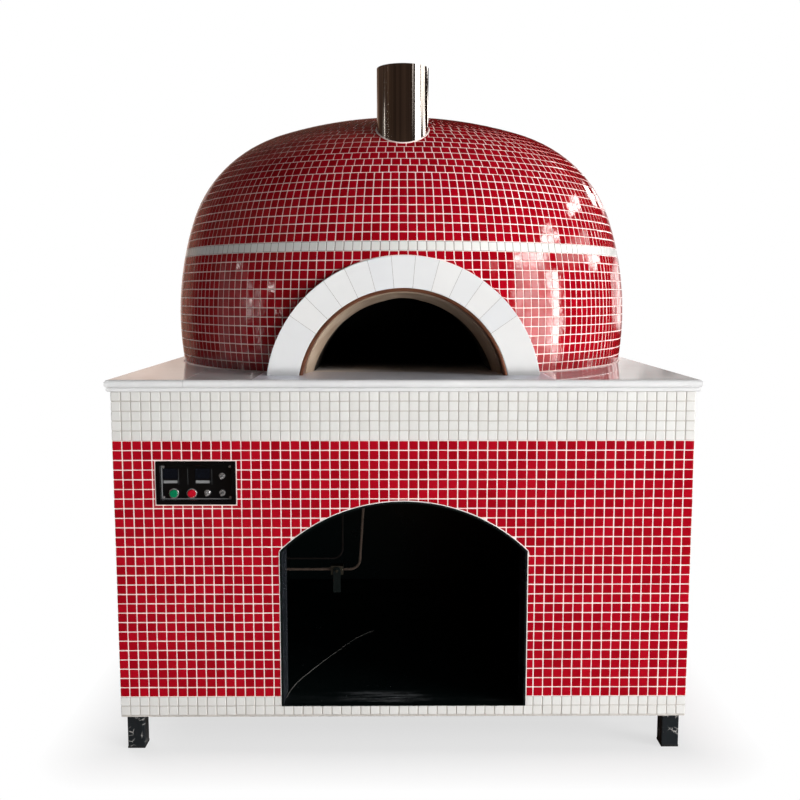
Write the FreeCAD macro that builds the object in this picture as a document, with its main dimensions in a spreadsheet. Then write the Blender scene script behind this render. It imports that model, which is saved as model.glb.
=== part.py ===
"""Dome pizza oven on a tiled stand, with its gas line, control panel and flue.

The origin is on the floor under the middle of the counter, in millimetres.
X points to the right, Y to the back and Z up.
"""
import FreeCAD, Part
import math
import os
from FreeCAD import Placement, Rotation, Vector

# Sizes that can be set one by one, in millimetres, counts and degrees.
DRIVING = {
    "tile_pitch": 25,
    "base_columns": 59,
    "side_columns": 63,
    "base_rows": 34,
    "upper_white_rows": 5,
    "lower_white_rows": 2,
    "sill_rows": 1,
    "mosaic_thickness": 6,
    "board_thickness": 6,
    "seat_gap": 0.3,
    "leg_height": 95,
    "leg_section": 45,
    "leg_wall": 3,
    "pad_height": 5,
    "lower_rail_depth": 20,
    "bearer_section": 45,
    "bearer_spacing": 470,
    "deck_thickness": 5,
    "slab_margin": 20,
    "hearth_slab_thickness": 70,
    "counter_overhang": 12.5,
    "stone_thickness": 20,
    "underlay_thickness": 10,
    "underlay_inset": 4,
    "bullnose_radius": 9,
    "bead_radius": 4.5,
    "seam_offset": 552,
    "seam_width": 1,
    "landing_half_width": 381,
    "landing_thickness": 5,
    "landing_margin": 11,
    "store_half_opening": 320,
    "store_side_height": 414,
    "store_rise": 131,
    "edging_width": 4,
    "liner_thickness": 3,
    "liner_depth": 110,
    "store_half_width": 420,
    "store_depth": 1100,
    "sheet_thickness": 3,
    "dome_setback": 827.5,
    "dome_radius": 722,
    "dome_bulge_height": 142,
    "dome_wall_radius": 950,
    "dome_shoulder_radius": 402,
    "dome_crown_radius": 1300,
    "dome_height": 768,
    "render_thickness": 25,
    "band_height": 326,
    "foot_fillet": 15,
    "chamber_setback": 70,
    "chamber_radius": 450,
    "chamber_thickness": 55,
    "chamber_side_height": 90,
    "chamber_height": 400,
    "hearth_radius": 545,
    "hearth_tile_side": 272,
    "hearth_joint": 1,
    "throat_half_width": 290,
    "arch_setback": 12.5,
    "arch_drop": 51,
    "arch_radius": 280,
    "arch_thickness": 84,
    "arch_depth": 115,
    "arch_joint": 0.8,
    "arch_stone_angle": 10,
    "arch_joints_per_side": 6,
    "ring_thickness": 9,
    "ring_depth": 60,
    "throat_radius": 250,
    "throat_splay": 18,
    "throat_splay_depth": 120,
    "flue_setback": 100.5,
    "flue_radius": 72,
    "flue_wall": 1.5,
    "flue_rise": 833,
    "burner_offset": 340,
    "burner_width": 70,
    "burner_length": 320,
    "burner_height": 60,
    "burner_port_width": 4,
    "burner_port_depth": 12,
    "burner_ports": 9,
    "pilot_offset": 290,
    "pilot_radius": 8,
    "pilot_height": 50,
    "gas_tube_radius": 4,
    "pilot_tube_radius": 3,
    "tube_wall": 0.8,
    "tube_bend": 30,
    "gas_level": 384,
    "gas_setback": 347,
    "gas_valve_offset": 192,
    "gas_valve_length": 36,
    "gas_valve_side": 26,
    "gas_stem_radius": 4,
    "gas_stem_length": 10,
    "gas_lever_width": 22,
    "gas_lever_length": 65,
    "gas_lever_thickness": 3,
    "gas_lever_hub": 2,
    "shaft_clearance": 0.05,
    "riser_offset": 127,
    "riser_lean": 28,
    "pipe_drop": 25,
    "pilot_drop": 55,
    "pilot_run_rise": 41,
    "pilot_run_forward": 30,
    "pilot_run_end": 174,
    "service_offset": 560,
    "control_valve_width": 80,
    "control_valve_length": 120,
    "control_valve_height": 90,
    "inlet_radius": 13,
    "inlet_nut": 22,
    "inlet_length": 40,
    "inlet_socket_radius": 9.3,
    "inlet_socket_depth": 18,
    "gland_offset": 470,
    "gland_radius": 10,
    "gland_nut": 16,
    "gland_length": 30,
    "fitting_proud": 12,
    "probe_offset": 150,
    "probe_behind": 190,
    "probe_radius": 3,
    "probe_length": 140,
    "panel_offset": 528,
    "panel_level": 711.5,
    "panel_width": 203,
    "panel_height": 112,
    "panel_border": 11.5,
    "panel_proud": 2,
    "panel_recess": 15,
    "face_thickness": 2,
    "housing_depth": 70,
    "housing_wall": 2,
    "button_row": -29.5,
    "green_column": -59.5,
    "red_column": -13.5,
    "button_radius": 10.2,
    "button_rim": 2.3,
    "button_rim_height": 3,
    "button_proud": 8,
    "button_length": 10,
    "button_travel": 3,
    "button_stem_radius": 4,
    "button_stem_length": 24,
    "button_body_length": 31,
    "button_round": 2.5,
    "toggle_low_row": -28,
    "toggle_high_row": 16,
    "toggle_left_column": 26.5,
    "toggle_right_column": 64.5,
    "toggle_bush_radius": 6,
    "toggle_bush_length": 7,
    "toggle_bore_radius": 3.6,
    "toggle_nut_radius": 8,
    "toggle_nut_height": 3,
    "toggle_body_side": 16,
    "toggle_body_length": 20,
    "toggle_lever_length": 18,
    "toggle_lever_tip": 2.3,
    "toggle_lever_root": 1.6,
    "toggle_pin_radius": 1,
    "toggle_pin_length": 9.2,
    "toggle_tilt": 12,
    "display_width": 34,
    "display_height": 23.5,
    "display_depth": 12,
    "display_rim": 1.5,
    "display_row": 21.5,
    "display_left_column": -67.5,
    "display_right_column": 14.5,
    "screw_inset": 5,
    "screw_head_radius": 3,
    "screw_head_height": 2,
    "screw_radius": 1.5,
    "screw_length": 6,
}

# Sizes and levels that follow from them.
DERIVED = {
    "base_width": "=tile_pitch * base_columns",
    "base_depth": "=tile_pitch * side_columns",
    "base_height": "=tile_pitch * base_rows",
    "base_top": "=leg_height + base_height",
    "front_face": "=-base_depth / 2",
    "counter_top": "=base_top + underlay_thickness + stone_thickness",
    "counter_half_width": "=base_width / 2 + counter_overhang",
    "counter_half_depth": "=base_depth / 2 + counter_overhang",
    "cladding": "=mosaic_thickness + board_thickness",
    "frame_half_width": "=base_width / 2 - cladding",
    "frame_half_depth": "=base_depth / 2 - cladding",
    "rail_half_width": "=frame_half_width - leg_section",
    "rail_half_depth": "=frame_half_depth - leg_section",
    "upper_rail_depth": "=hearth_slab_thickness + deck_thickness + bearer_section",
    "bearer_level": "=base_top - upper_rail_depth",
    "deck_level": "=bearer_level + bearer_section",
    "slab_level": "=deck_level + deck_thickness",
    "red_level": "=leg_height + lower_white_rows * tile_pitch",
    "white_level": "=base_top - upper_white_rows * tile_pitch",
    "sill_level": "=leg_height + sill_rows * tile_pitch",
    "lower_rail_level": "=sill_level - sheet_thickness - lower_rail_depth",
    "store_height": "=store_side_height + store_rise",
    "store_arc": "=(store_half_opening ^ 2 + store_rise ^ 2) / (2 * store_rise)",
    "store_back": "=-frame_half_depth + store_depth",
    "dome_axis": "=front_face + dome_setback",
    "chamber_axis": "=dome_axis + chamber_setback",
    "arch_level": "=counter_top - arch_drop",
    "arch_face": "=dome_axis - dome_radius + arch_setback",
    "arch_back": "=arch_face + arch_depth",
    "arch_outer": "=arch_radius + arch_thickness",
    "ring_back": "=arch_face + ring_depth",
    "throat_outer": "=arch_radius - seat_gap",
    "flue_axis": "=chamber_axis - chamber_radius - flue_setback",
    "gas_plane": "=front_face + gas_setback",
    "gas_stem_face": "=gas_plane - gas_valve_side / 2",
    "service_wall": "=frame_half_depth + cladding",
    "panel_face": "=front_face + panel_recess",
    "panel_front": "=front_face - panel_proud",
    "panel_rest": "=panel_face + face_thickness",
    "toggle_pivot": "=panel_face",
}

doc = FreeCAD.newDocument("PizzaOven")
dim = doc.addObject("Spreadsheet::Sheet", "dim")
for row, (alias, content) in enumerate({**DRIVING, **DERIVED}.items(), start=1):
    dim.set(f"A{row}", alias)
    dim.set(f"B{row}", str(content))
    dim.setAlias(f"B{row}", alias)
doc.recompute()

ALONG = {
    "X": Rotation(Vector(0, 1, 0), 90),
    "Y": Rotation(Vector(1, 0, 0), -90),
    "Z": Rotation(),
}
LEFT_RIGHT = (-1, 1)
FRONT_BACK = (-1, 1)
sub_parts = []


def size(alias):
    """The number in the sheet's cell of this name."""
    return float(dim.get(alias))


def in_sheet(text):
    """The expression with each size read from the sheet."""
    words = text.replace("(", " ( ").replace(")", " ) ").split()
    return " ".join(f"dim.{word}" if word in DRIVING or word in DERIVED else word for word in words)


def put(solid, place, turn=Rotation()):
    """Set a solid's turn, and bind its place along X, Y and Z."""
    solid.Placement = Placement(Vector(), turn)
    for letter, text in zip("xyz", place):
        solid.setExpression(f"Placement.Base.{letter}", in_sheet(text))
    return solid


def box(name, sides, corner):
    """A block from its low corner, with its three sides bound to the sheet."""
    block = doc.addObject("Part::Box", name)
    for side, text in zip(("Length", "Width", "Height"), sides):
        block.setExpression(side, in_sheet(text))
    return put(block, corner)


def rod(name, radius, length, start, along="Z"):
    """A round bar from the middle of its first end, along one axis."""
    bar = doc.addObject("Part::Cylinder", name)
    bar.setExpression("Radius", in_sheet(radius))
    bar.setExpression("Height", in_sheet(length))
    return put(bar, start, ALONG[along])


def cone(name, first_radius, last_radius, length, start, along="Z"):
    """A tapered round bar from the middle of its first end, along one axis."""
    bar = doc.addObject("Part::Cone", name)
    bar.setExpression("Radius1", in_sheet(first_radius))
    bar.setExpression("Radius2", in_sheet(last_radius))
    bar.setExpression("Height", in_sheet(length))
    return put(bar, start, ALONG[along])


def hexagon(name, radius, length, start, along="Z"):
    """A nut's six-sided prism from the middle of its first end, along one axis."""
    prism = doc.addObject("Part::Prism", name)
    prism.Polygon = 6
    prism.setExpression("Circumradius", in_sheet(radius))
    prism.setExpression("Height", in_sheet(length))
    return put(prism, start, ALONG[along])


def cut(name, base, *tools):
    """What is left of the base after each tool in turn."""
    for count, tool in enumerate(tools, start=1):
        result = doc.addObject("Part::Cut", name if count == len(tools) else f"{name}_stage_{count}")
        result.Base = base
        result.Tool = tool
        base = result
    return base


def common(name, base, tool):
    """What two solids share."""
    result = doc.addObject("Part::Common", name)
    result.Base = base
    result.Tool = tool
    return result


def fuse(name, *solids):
    """Several solids as one."""
    result = doc.addObject("Part::MultiFuse", name)
    result.Shapes = list(solids)
    return result


def group(name, solids):
    """Like pieces that share a node, each still a solid of its own."""
    result = doc.addObject("Part::Compound", name)
    result.Links = list(solids)
    return result


def shaped(name, shape, place=(0, 0, 0)):
    """A piece whose form is worked out from the sheet's numbers."""
    piece = doc.addObject("Part::Feature", name)
    piece.Shape = shape
    piece.Placement = Placement(Vector(*place), Rotation())
    return piece


def keep(piece):
    """Count a piece among the sub-parts that are written out."""
    sub_parts.append(piece)
    return piece


def rounded(name, block, radius, chosen):
    """The block with the chosen edges rounded."""
    doc.recompute()
    result = doc.addObject("Part::Fillet", name)
    result.Base = block
    edges = enumerate(block.Shape.Edges, start=1)
    result.Edges = [(count, radius, radius) for count, edge in edges if chosen(edge.CenterOfMass)]
    return result


def square_tube(name, sides, corner, along):
    """A square or flat tube: a block with its middle taken out along one axis."""
    outer = box(f"{name}_outer", sides, corner)

    def drawn_in(texts, change):
        return [text if letter == along else f"{text} {change}" for letter, text in zip("XYZ", texts)]

    inner = box(f"{name}_inner", drawn_in(sides, "- 2 * leg_wall"), drawn_in(corner, "+ leg_wall"))
    return cut(name, outer, inner)


# Stand: four square-tube legs on rubber pads, tied by deep rails above and flat rails below.
legs = []
pads = []
for across in LEFT_RIGHT:
    for along in FRONT_BACK:
        corner_x = f"{across} * ( frame_half_width - leg_section / 2 ) - leg_section / 2"
        corner_y = f"{along} * ( frame_half_depth - leg_section / 2 ) - leg_section / 2"
        mark = f"{len(legs) + 1}"
        leg_sides = ("leg_section", "leg_section", "base_top - pad_height")
        legs.append(square_tube(f"leg_{mark}", leg_sides, (corner_x, corner_y, "pad_height"), "Z"))
        pad_sides = ("leg_section", "leg_section", "pad_height")
        pads.append(box(f"pad_{mark}", pad_sides, (corner_x, corner_y, "0")))
keep(group("frame_legs", legs))
keep(group("foot_pads", pads))


def rail_ring(name, depth, level):
    """Four rails between the legs, at one level."""
    rails = []
    for side in FRONT_BACK:
        cross_sides = ("2 * rail_half_width", "leg_section", depth)
        cross_y = f"{side} * ( frame_half_depth - leg_section / 2 ) - leg_section / 2"
        cross_place = ("-1 * rail_half_width", cross_y, level)
        rails.append(square_tube(f"{name}_cross_{side + 2}", cross_sides, cross_place, "X"))
        long_sides = ("leg_section", "2 * rail_half_depth", depth)
        long_x = f"{side} * ( frame_half_width - leg_section / 2 ) - leg_section / 2"
        long_place = (long_x, "-1 * rail_half_depth", level)
        rails.append(square_tube(f"{name}_long_{side + 2}", long_sides, long_place, "Y"))
    return rails


keep(group("frame_upper_rails", rail_ring("upper_rail", "upper_rail_depth", "bearer_level")))
store_rail_sides = ("2 * rail_half_width", "leg_section", "lower_rail_depth")
store_rail_place = ("-1 * rail_half_width", "store_back - leg_section", "lower_rail_level")
store_rail = square_tube("store_rail", store_rail_sides, store_rail_place, "X")
lower_rails = rail_ring("lower_rail", "lower_rail_depth", "lower_rail_level")
keep(group("frame_lower_rails", [*lower_rails, store_rail]))

bearers = []
for step in (-1, 0, 1):
    bearer_sides = ("2 * rail_half_width", "bearer_section", "bearer_section")
    bearer_y = f"dome_axis + {step} * bearer_spacing - bearer_section / 2"
    bearer_place = ("-1 * rail_half_width", bearer_y, "bearer_level")
    bearers.append(square_tube(f"bearer_{step + 2}", bearer_sides, bearer_place, "X"))
keep(group("frame_bearers", bearers))


# Cladding: boards screwed to the frame, and glass mosaic bonded to them in red and white fields.
def arched_opening(name, inset, front, depth):
    """The store's arched outline as a prism along Y, drawn in by the inset at its sides and crown."""
    block_sides = (f"2 * ( store_half_opening - {inset} )", depth, f"store_height - {inset}")
    block_place = (f"-1 * ( store_half_opening - {inset} )", front, "sill_level")
    block = box(f"{name}_block", block_sides, block_place)
    arc_place = ("0", front, "sill_level + store_height - store_arc")
    return common(name, block, rod(f"{name}_arc", f"store_arc - {inset}", depth, arc_place, "Y"))


opening = arched_opening("opening", "0", "front_face - cladding", "3 * cladding")
panel_corner = (
    "-1 * panel_offset - panel_width / 2 - seat_gap",
    "front_face - cladding",
    "panel_level - panel_height / 2 - seat_gap",
)
panel_sides = ("panel_width + 2 * seat_gap", "3 * cladding", "panel_height + 2 * seat_gap")
panel_cutout = box("panel_cutout", panel_sides, panel_corner)
inlet_hole_place = ("-1 * service_offset", "frame_half_depth - cladding", "gas_level")
inlet_hole = rod("inlet_hole", "inlet_radius + seat_gap", "3 * cladding", inlet_hole_place, "Y")
gland_hole_place = ("-1 * gland_offset", "frame_half_depth - cladding", "gas_level")
gland_hole = rod("gland_hole", "gland_radius + seat_gap", "3 * cladding", gland_hole_place, "Y")

board_sides = ("base_width - 2 * mosaic_thickness", "board_thickness", "base_height")
board_left = "-1 * base_width / 2 + mosaic_thickness"
front_sheet_place = (board_left, "-1 * frame_half_depth - board_thickness", "leg_height")
front_sheet = box("front_sheet", board_sides, front_sheet_place)
keep(cut("front_board", front_sheet, opening, panel_cutout))
back_sheet = box("back_sheet", board_sides, (board_left, "frame_half_depth", "leg_height"))
keep(cut("back_board", back_sheet, inlet_hole, gland_hole))
side_sheets = []
for across in LEFT_RIGHT:
    sheet_x = f"{across} * ( frame_half_width + board_thickness / 2 ) - board_thickness / 2"
    sheet_sides = ("board_thickness", "2 * frame_half_depth", "base_height")
    sheet_place = (sheet_x, "-1 * frame_half_depth", "leg_height")
    side_sheets.append(box(f"side_sheet_{across + 2}", sheet_sides, sheet_place))
keep(group("side_boards", side_sheets))


def mosaic_ring(name, level, height):
    """A band of mosaic right round the stand."""
    outer_place = ("-1 * base_width / 2", "front_face", level)
    outer = box(f"{name}_outer", ("base_width", "base_depth", height), outer_place)
    inner_sides = ("base_width - 2 * mosaic_thickness", "base_depth - 2 * mosaic_thickness", height)
    inner_place = ("mosaic_thickness - base_width / 2", "front_face + mosaic_thickness", level)
    return outer, box(f"{name}_inner", inner_sides, inner_place)


upper_white = mosaic_ring("upper_white", "white_level", "upper_white_rows * tile_pitch")
keep(cut("mosaic_upper_white", *upper_white))
lower_white = mosaic_ring("lower_white", "leg_height", "lower_white_rows * tile_pitch")
keep(cut("mosaic_lower_white", *lower_white, opening))
red_height = "white_level - red_level"
red_sides = ("base_width", "mosaic_thickness", red_height)
red_front = box("red_front", red_sides, ("-1 * base_width / 2", "front_face", "red_level"))
keep(cut("mosaic_red_front", red_front, opening, panel_cutout))
red_back_place = ("-1 * base_width / 2", "-1 * front_face - mosaic_thickness", "red_level")
keep(cut("mosaic_red_back", box("red_back", red_sides, red_back_place), inlet_hole, gland_hole))
red_flanks = []
for across in LEFT_RIGHT:
    flank_x = f"{across} * ( base_width - mosaic_thickness ) / 2 - mosaic_thickness / 2"
    flank_sides = ("mosaic_thickness", "base_depth - 2 * mosaic_thickness", red_height)
    flank_place = (flank_x, "front_face + mosaic_thickness", "red_level")
    red_flanks.append(box(f"red_flank_{across + 2}", flank_sides, flank_place))
keep(group("mosaic_red_sides", red_flanks))

# Store under the hearth: white edging and a black liner in the opening, then sheet-steel floor and walls.
edging_inner = arched_opening("edging_inner", "edging_width", "front_face - cladding", "3 * cladding")
keep(cut("opening_edging", arched_opening("edging_outer", "0", "front_face", "cladding"), edging_inner))
liner_inset = "( edging_width + seat_gap )"
liner_outer = arched_opening("liner_outer", liner_inset, "front_face", "liner_depth")
liner_room = "( edging_width + seat_gap + liner_thickness )"
liner_inner = arched_opening("liner_inner", liner_room, "front_face - cladding",
                             "liner_depth + 2 * cladding")
keep(cut("opening_liner", liner_outer, liner_inner))
floor_sides = ("2 * store_half_width", "store_depth", "sheet_thickness")
floor_place = ("-1 * store_half_width", "-1 * frame_half_depth", "sill_level - sheet_thickness")
keep(box("store_floor", floor_sides, floor_place))

gas_hole_place = ("-1 * store_half_width - sheet_thickness", "gas_plane", "gas_level")
gas_hole = rod("gas_hole", "gas_tube_radius + seat_gap", "3 * sheet_thickness", gas_hole_place, "X")
pilot_hole_place = (
    "-1 * store_half_width - sheet_thickness",
    "gas_plane - pilot_run_forward",
    "gas_level + pilot_run_rise",
)
pilot_hole = rod("pilot_hole", "pilot_tube_radius + seat_gap", "3 * sheet_thickness", pilot_hole_place, "X")
wall_height = "bearer_level - sill_level"
side_wall_sides = ("sheet_thickness", "store_depth", wall_height)
left_wall_place = ("-1 * store_half_width", "-1 * frame_half_depth", "sill_level")
left_wall = cut("left_wall", box("left_sheet", side_wall_sides, left_wall_place), gas_hole, pilot_hole)
right_wall_place = ("store_half_width - sheet_thickness", "-1 * frame_half_depth", "sill_level")
right_wall = box("right_wall", side_wall_sides, right_wall_place)
back_wall_sides = ("2 * ( store_half_width - sheet_thickness )", "sheet_thickness", wall_height)
back_wall_place = ("sheet_thickness - store_half_width", "store_back - sheet_thickness", "sill_level")
keep(group("store_walls", [left_wall, right_wall, box("back_wall", back_wall_sides, back_wall_place)]))


# Deck and hearth: steel plate on the bearers, insulating slab, and floor tiles level with the counter.
def vertical_hole(name, radius, offset, behind, height):
    """Room for an upright tube beside the chamber's axis, from the bearers up."""
    return rod(name, f"{radius} + seat_gap", height, (offset, f"chamber_axis + {behind}", "bearer_level"))


burner_hole = vertical_hole("burner_hole", "gas_tube_radius", "-1 * burner_offset", "0", "dome_height")
pilot_room = vertical_hole("pilot_room", "pilot_tube_radius", "-1 * pilot_offset", "0", "dome_height")
probe_hole = vertical_hole("probe_hole", "probe_radius", "probe_offset", "probe_behind",
                           "base_top - bearer_level")
upright_holes = (burner_hole, pilot_room, probe_hole)

deck_sides = ("2 * rail_half_width", "2 * rail_half_depth", "deck_thickness")
deck_place = ("-1 * rail_half_width", "-1 * rail_half_depth", "deck_level")
keep(cut("deck_plate", box("deck_sheet", deck_sides, deck_place), *upright_holes))
slab_sides = (
    "2 * ( rail_half_width - slab_margin )",
    "2 * ( rail_half_depth - slab_margin )",
    "hearth_slab_thickness",
)
slab_place = ("slab_margin - rail_half_width", "slab_margin - rail_half_depth", "slab_level")
keep(cut("hearth_slab", box("slab_block", slab_sides, slab_place), *upright_holes))


def hearth_outline(name, inset, level, height):
    """The floor's outline, a disc with the throat's strip before it, drawn in by the inset."""
    disc = rod(f"{name}_disc", f"hearth_radius - {inset}", height, ("0", "chamber_axis", level))
    strip_sides = (f"2 * ( throat_half_width - {inset} )", f"chamber_axis - arch_back - {inset}", height)
    strip_place = (f"{inset} - throat_half_width", f"arch_back + {inset}", level)
    return fuse(name, disc, box(f"{name}_strip", strip_sides, strip_place))


floor_disc = hearth_outline("floor_disc", "hearth_joint", "base_top", "counter_top - base_top")
floor_joints = []
for step in (-1, 0, 1):
    joint_x = f"{step} * hearth_tile_side - hearth_joint / 2"
    joint_y = f"chamber_axis + {step} * hearth_tile_side + ( hearth_tile_side - hearth_joint ) / 2"
    long_sides = ("hearth_joint", "3 * hearth_radius", "counter_top - base_top")
    long_place = (joint_x, "chamber_axis - 2 * hearth_radius", "base_top")
    floor_joints.append(box(f"floor_joint_{step + 2}", long_sides, long_place))
    cross_sides = ("3 * hearth_radius", "hearth_joint", "counter_top - base_top")
    cross_place = ("-2 * hearth_radius", joint_y, "base_top")
    floor_joints.append(box(f"floor_cross_{step + 2}", cross_sides, cross_place))
keep(cut("hearth_tiles", floor_disc, fuse("floor_joints", *floor_joints), burner_hole, pilot_room))

# Counter: two stone slabs with a rounded edge on an underlay whose edge shows as a smaller bead.
hearth_well = hearth_outline("hearth_well", "0", "base_top - deck_thickness", "dome_height")
landing_sides = (
    "2 * landing_half_width",
    "arch_back + counter_half_depth - landing_margin",
    "landing_thickness",
)
landing_place = (
    "-1 * landing_half_width",
    "landing_margin - counter_half_depth",
    "counter_top - landing_thickness",
)
landing = keep(box("landing_plate", landing_sides, landing_place))

stone_level = "base_top + underlay_thickness"
half_seam = "seam_width / 2"
slab_depth = "2 * counter_half_depth"
main_sides = (f"counter_half_width + seam_offset - {half_seam}", slab_depth, "stone_thickness")
main_place = (f"{half_seam} - seam_offset", "-1 * counter_half_depth", stone_level)
main_block = box("main_block", main_sides, main_place)
left_sides = (f"counter_half_width - seam_offset - {half_seam}", slab_depth, "stone_thickness")
left_place = ("-1 * counter_half_width", "-1 * counter_half_depth", stone_level)
left_block = box("left_block", left_sides, left_place)
underlay_sides = (
    "2 * ( counter_half_width - underlay_inset )",
    "2 * ( counter_half_depth - underlay_inset )",
    "underlay_thickness",
)
underlay_place = ("underlay_inset - counter_half_width", "underlay_inset - counter_half_depth", "base_top")
underlay_block = box("underlay_block", underlay_sides, underlay_place)
doc.recompute()


def outer_rim(block):
    """A test for the long edges of a slab that lie on the counter's outer sides, above and below."""
    bounds = block.Shape.BoundBox
    levels = (bounds.ZMin, bounds.ZMax)
    seam = -size("seam_offset")

    def on_rim(point):
        level_edge = min(abs(point.z - level) for level in levels) < size("seat_gap")
        return level_edge and abs(point.x - seam) > size("seam_width")

    return on_rim


main_slab = rounded("main_slab", main_block, size("bullnose_radius"), outer_rim(main_block))
keep(cut("counter_main_slab", main_slab, hearth_well, landing))
keep(rounded("counter_left_slab", left_block, size("bullnose_radius"), outer_rim(left_block)))
underlay_sheet = rounded("underlay_sheet", underlay_block, size("bead_radius"), outer_rim(underlay_block))
keep(cut("counter_underlay", underlay_sheet, hearth_well))


# Dome: its outline is three tangent arcs, a bulging wall, a shoulder and a flat crown.
def on_circle(centre, radius, angle):
    """A point of the outline's plane, at an angle above the level."""
    return centre + Vector(radius * math.cos(angle), 0, radius * math.sin(angle))


def arc(centre, radius, first, last):
    """An arc of the outline's plane between two angles above the level."""
    ends = [on_circle(centre, radius, angle) for angle in (first, (first + last) / 2, last)]
    return Part.Arc(*ends).toShape()


def dome_centres():
    """The centres of the wall's, shoulder's and crown's arcs, and the angles where they meet."""
    wall = Vector(size("dome_radius") - size("dome_wall_radius"), 0, size("dome_bulge_height"))
    crown = Vector(0, 0, size("dome_height") - size("dome_crown_radius"))
    from_wall = size("dome_wall_radius") - size("dome_shoulder_radius")
    from_crown = size("dome_crown_radius") - size("dome_shoulder_radius")
    apart = crown - wall
    share = (from_wall ** 2 - from_crown ** 2 + apart.Length ** 2) / (2 * apart.Length)
    aside = math.sqrt(from_wall ** 2 - share ** 2)
    level = Vector(apart).normalize()
    shoulder = wall + level * share + Vector(-level.z, 0, level.x) * -aside
    if shoulder.x < wall.x:
        shoulder = wall + level * share + Vector(-level.z, 0, level.x) * aside
    low_turn = math.atan2(shoulder.z - wall.z, shoulder.x - wall.x)
    high_turn = math.atan2(shoulder.z - crown.z, shoulder.x - crown.x)
    return wall, shoulder, crown, low_turn, high_turn


def dome_body(name, inset):
    """The whole dome turned about its axis, drawn in from its outer face by the inset."""
    wall, shoulder, crown, low_turn, high_turn = dome_centres()
    wall_radius = size("dome_wall_radius") - inset
    crown_radius = size("dome_crown_radius") - inset
    foot_turn = -math.asin(wall.z / wall_radius)
    foot = on_circle(wall, wall_radius, foot_turn)
    top = on_circle(crown, crown_radius, math.pi / 2)
    outline = Part.Wire([
        arc(wall, wall_radius, foot_turn, low_turn),
        arc(shoulder, size("dome_shoulder_radius") - inset, low_turn, high_turn),
        arc(crown, crown_radius, high_turn, math.pi / 2),
        Part.LineSegment(top, Vector()).toShape(),
        Part.LineSegment(Vector(), foot).toShape(),
    ])
    solid = Part.Face(outline).revolve(Vector(), Vector(0, 0, 1), 360)
    return shaped(name, solid, (0, size("dome_axis"), size("counter_top")))


def chamber_body(name, thickness):
    """The chamber's upright wall and low vault turned about its axis, thickened outwards."""
    side = size("chamber_radius")
    rise = size("chamber_height") - size("chamber_side_height")
    vault_radius = (side ** 2 + rise ** 2) / (2 * rise)
    vault_centre = Vector(0, 0, size("chamber_height") - vault_radius)
    vault_turn = math.acos((side + thickness) / (vault_radius + thickness))
    spring = on_circle(vault_centre, vault_radius + thickness, vault_turn)
    top = on_circle(vault_centre, vault_radius + thickness, math.pi / 2)
    foot = Vector(side + thickness, 0, 0)
    outline = Part.Wire([
        Part.LineSegment(foot, spring).toShape(),
        arc(vault_centre, vault_radius + thickness, vault_turn, math.pi / 2),
        Part.LineSegment(top, Vector()).toShape(),
        Part.LineSegment(Vector(), foot).toShape(),
    ])
    solid = Part.Face(outline).revolve(Vector(), Vector(0, 0, 1), 360)
    return shaped(name, solid, (0, size("chamber_axis"), size("counter_top")))


def mouth_bar(name, radius, front, length):
    """A round bar along Y about the mouth's centre line."""
    return rod(name, radius, length, ("0", front, "arch_level"), "Y")


niche = mouth_bar("niche", "arch_outer + seat_gap", "front_face", "arch_back - front_face + seat_gap")
throat_room = mouth_bar("throat_room", "throat_outer + seat_gap", "front_face", "chamber_axis - front_face")
flue_room = rod("flue_room", "flue_radius + seat_gap", "flue_rise", ("0", "flue_axis", "counter_top"))
tile = size("mosaic_thickness")
gap = size("seat_gap")
render_inset = tile + gap
lining_inset = render_inset + size("render_thickness")

chamber_inside = chamber_body("chamber_inside", 0)
chamber_outside = chamber_body("chamber_outside", size("chamber_thickness"))
chamber_room = chamber_body("chamber_room", size("chamber_thickness") + gap)
doorway = mouth_bar("doorway", "throat_radius", "arch_face", "chamber_axis - arch_face")
keep(cut("chamber_vault", chamber_outside, chamber_inside, doorway))

lining_face = dome_body("lining_face", lining_inset + gap)
keep(cut("dome_insulation", lining_face, chamber_room, niche, throat_room, flue_room))
render_face = dome_body("render_face", render_inset)
render_back = dome_body("render_back", lining_inset)
keep(cut("dome_render", render_face, render_back, niche, throat_room, flue_room))

mosaic_face = dome_body("mosaic_face", 0)
mosaic_back = dome_body("mosaic_back", tile)
mosaic_shell = cut("mosaic_shell", mosaic_face, mosaic_back, niche, throat_room, flue_room)
layer_sides = ("4 * dome_radius", "4 * dome_radius")
layer_corner = ("-2 * dome_radius", "dome_axis - 2 * dome_radius")
band_top = "band_height + tile_pitch"
low_layer = box("low_layer", (*layer_sides, "band_height"), (*layer_corner, "counter_top"))
band_layer = box("band_layer", (*layer_sides, "tile_pitch"), (*layer_corner, "counter_top + band_height"))
high_layer = box("high_layer", (*layer_sides, "dome_height"), (*layer_corner, f"counter_top + {band_top}"))
keep(common("dome_mosaic_lower", mosaic_shell, low_layer))
keep(common("dome_mosaic_band", mosaic_shell, band_layer))
keep(common("dome_mosaic_upper", mosaic_shell, high_layer))


def wall_radius_at(height):
    """The dome's outer radius at a height on its wall."""
    wall = dome_centres()[0]
    return wall.x + math.sqrt(size("dome_wall_radius") ** 2 - (height - wall.z) ** 2)


fillet = size("foot_fillet")
fillet_corners = [
    Vector(wall_radius_at(0) + gap, 0, 0),
    Vector(wall_radius_at(0) + gap + fillet, 0, 0),
    Vector(wall_radius_at(fillet) + gap, 0, fillet),
]
fillet_face = Part.Face(Part.makePolygon(fillet_corners + fillet_corners[:1]))
fillet_ring = fillet_face.revolve(Vector(), Vector(0, 0, 1), 360)
fillet_place = (0, size("dome_axis"), size("counter_top"))
keep(cut("dome_foot_fillet", shaped("fillet_ring", fillet_ring, fillet_place), niche, throat_room))

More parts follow.
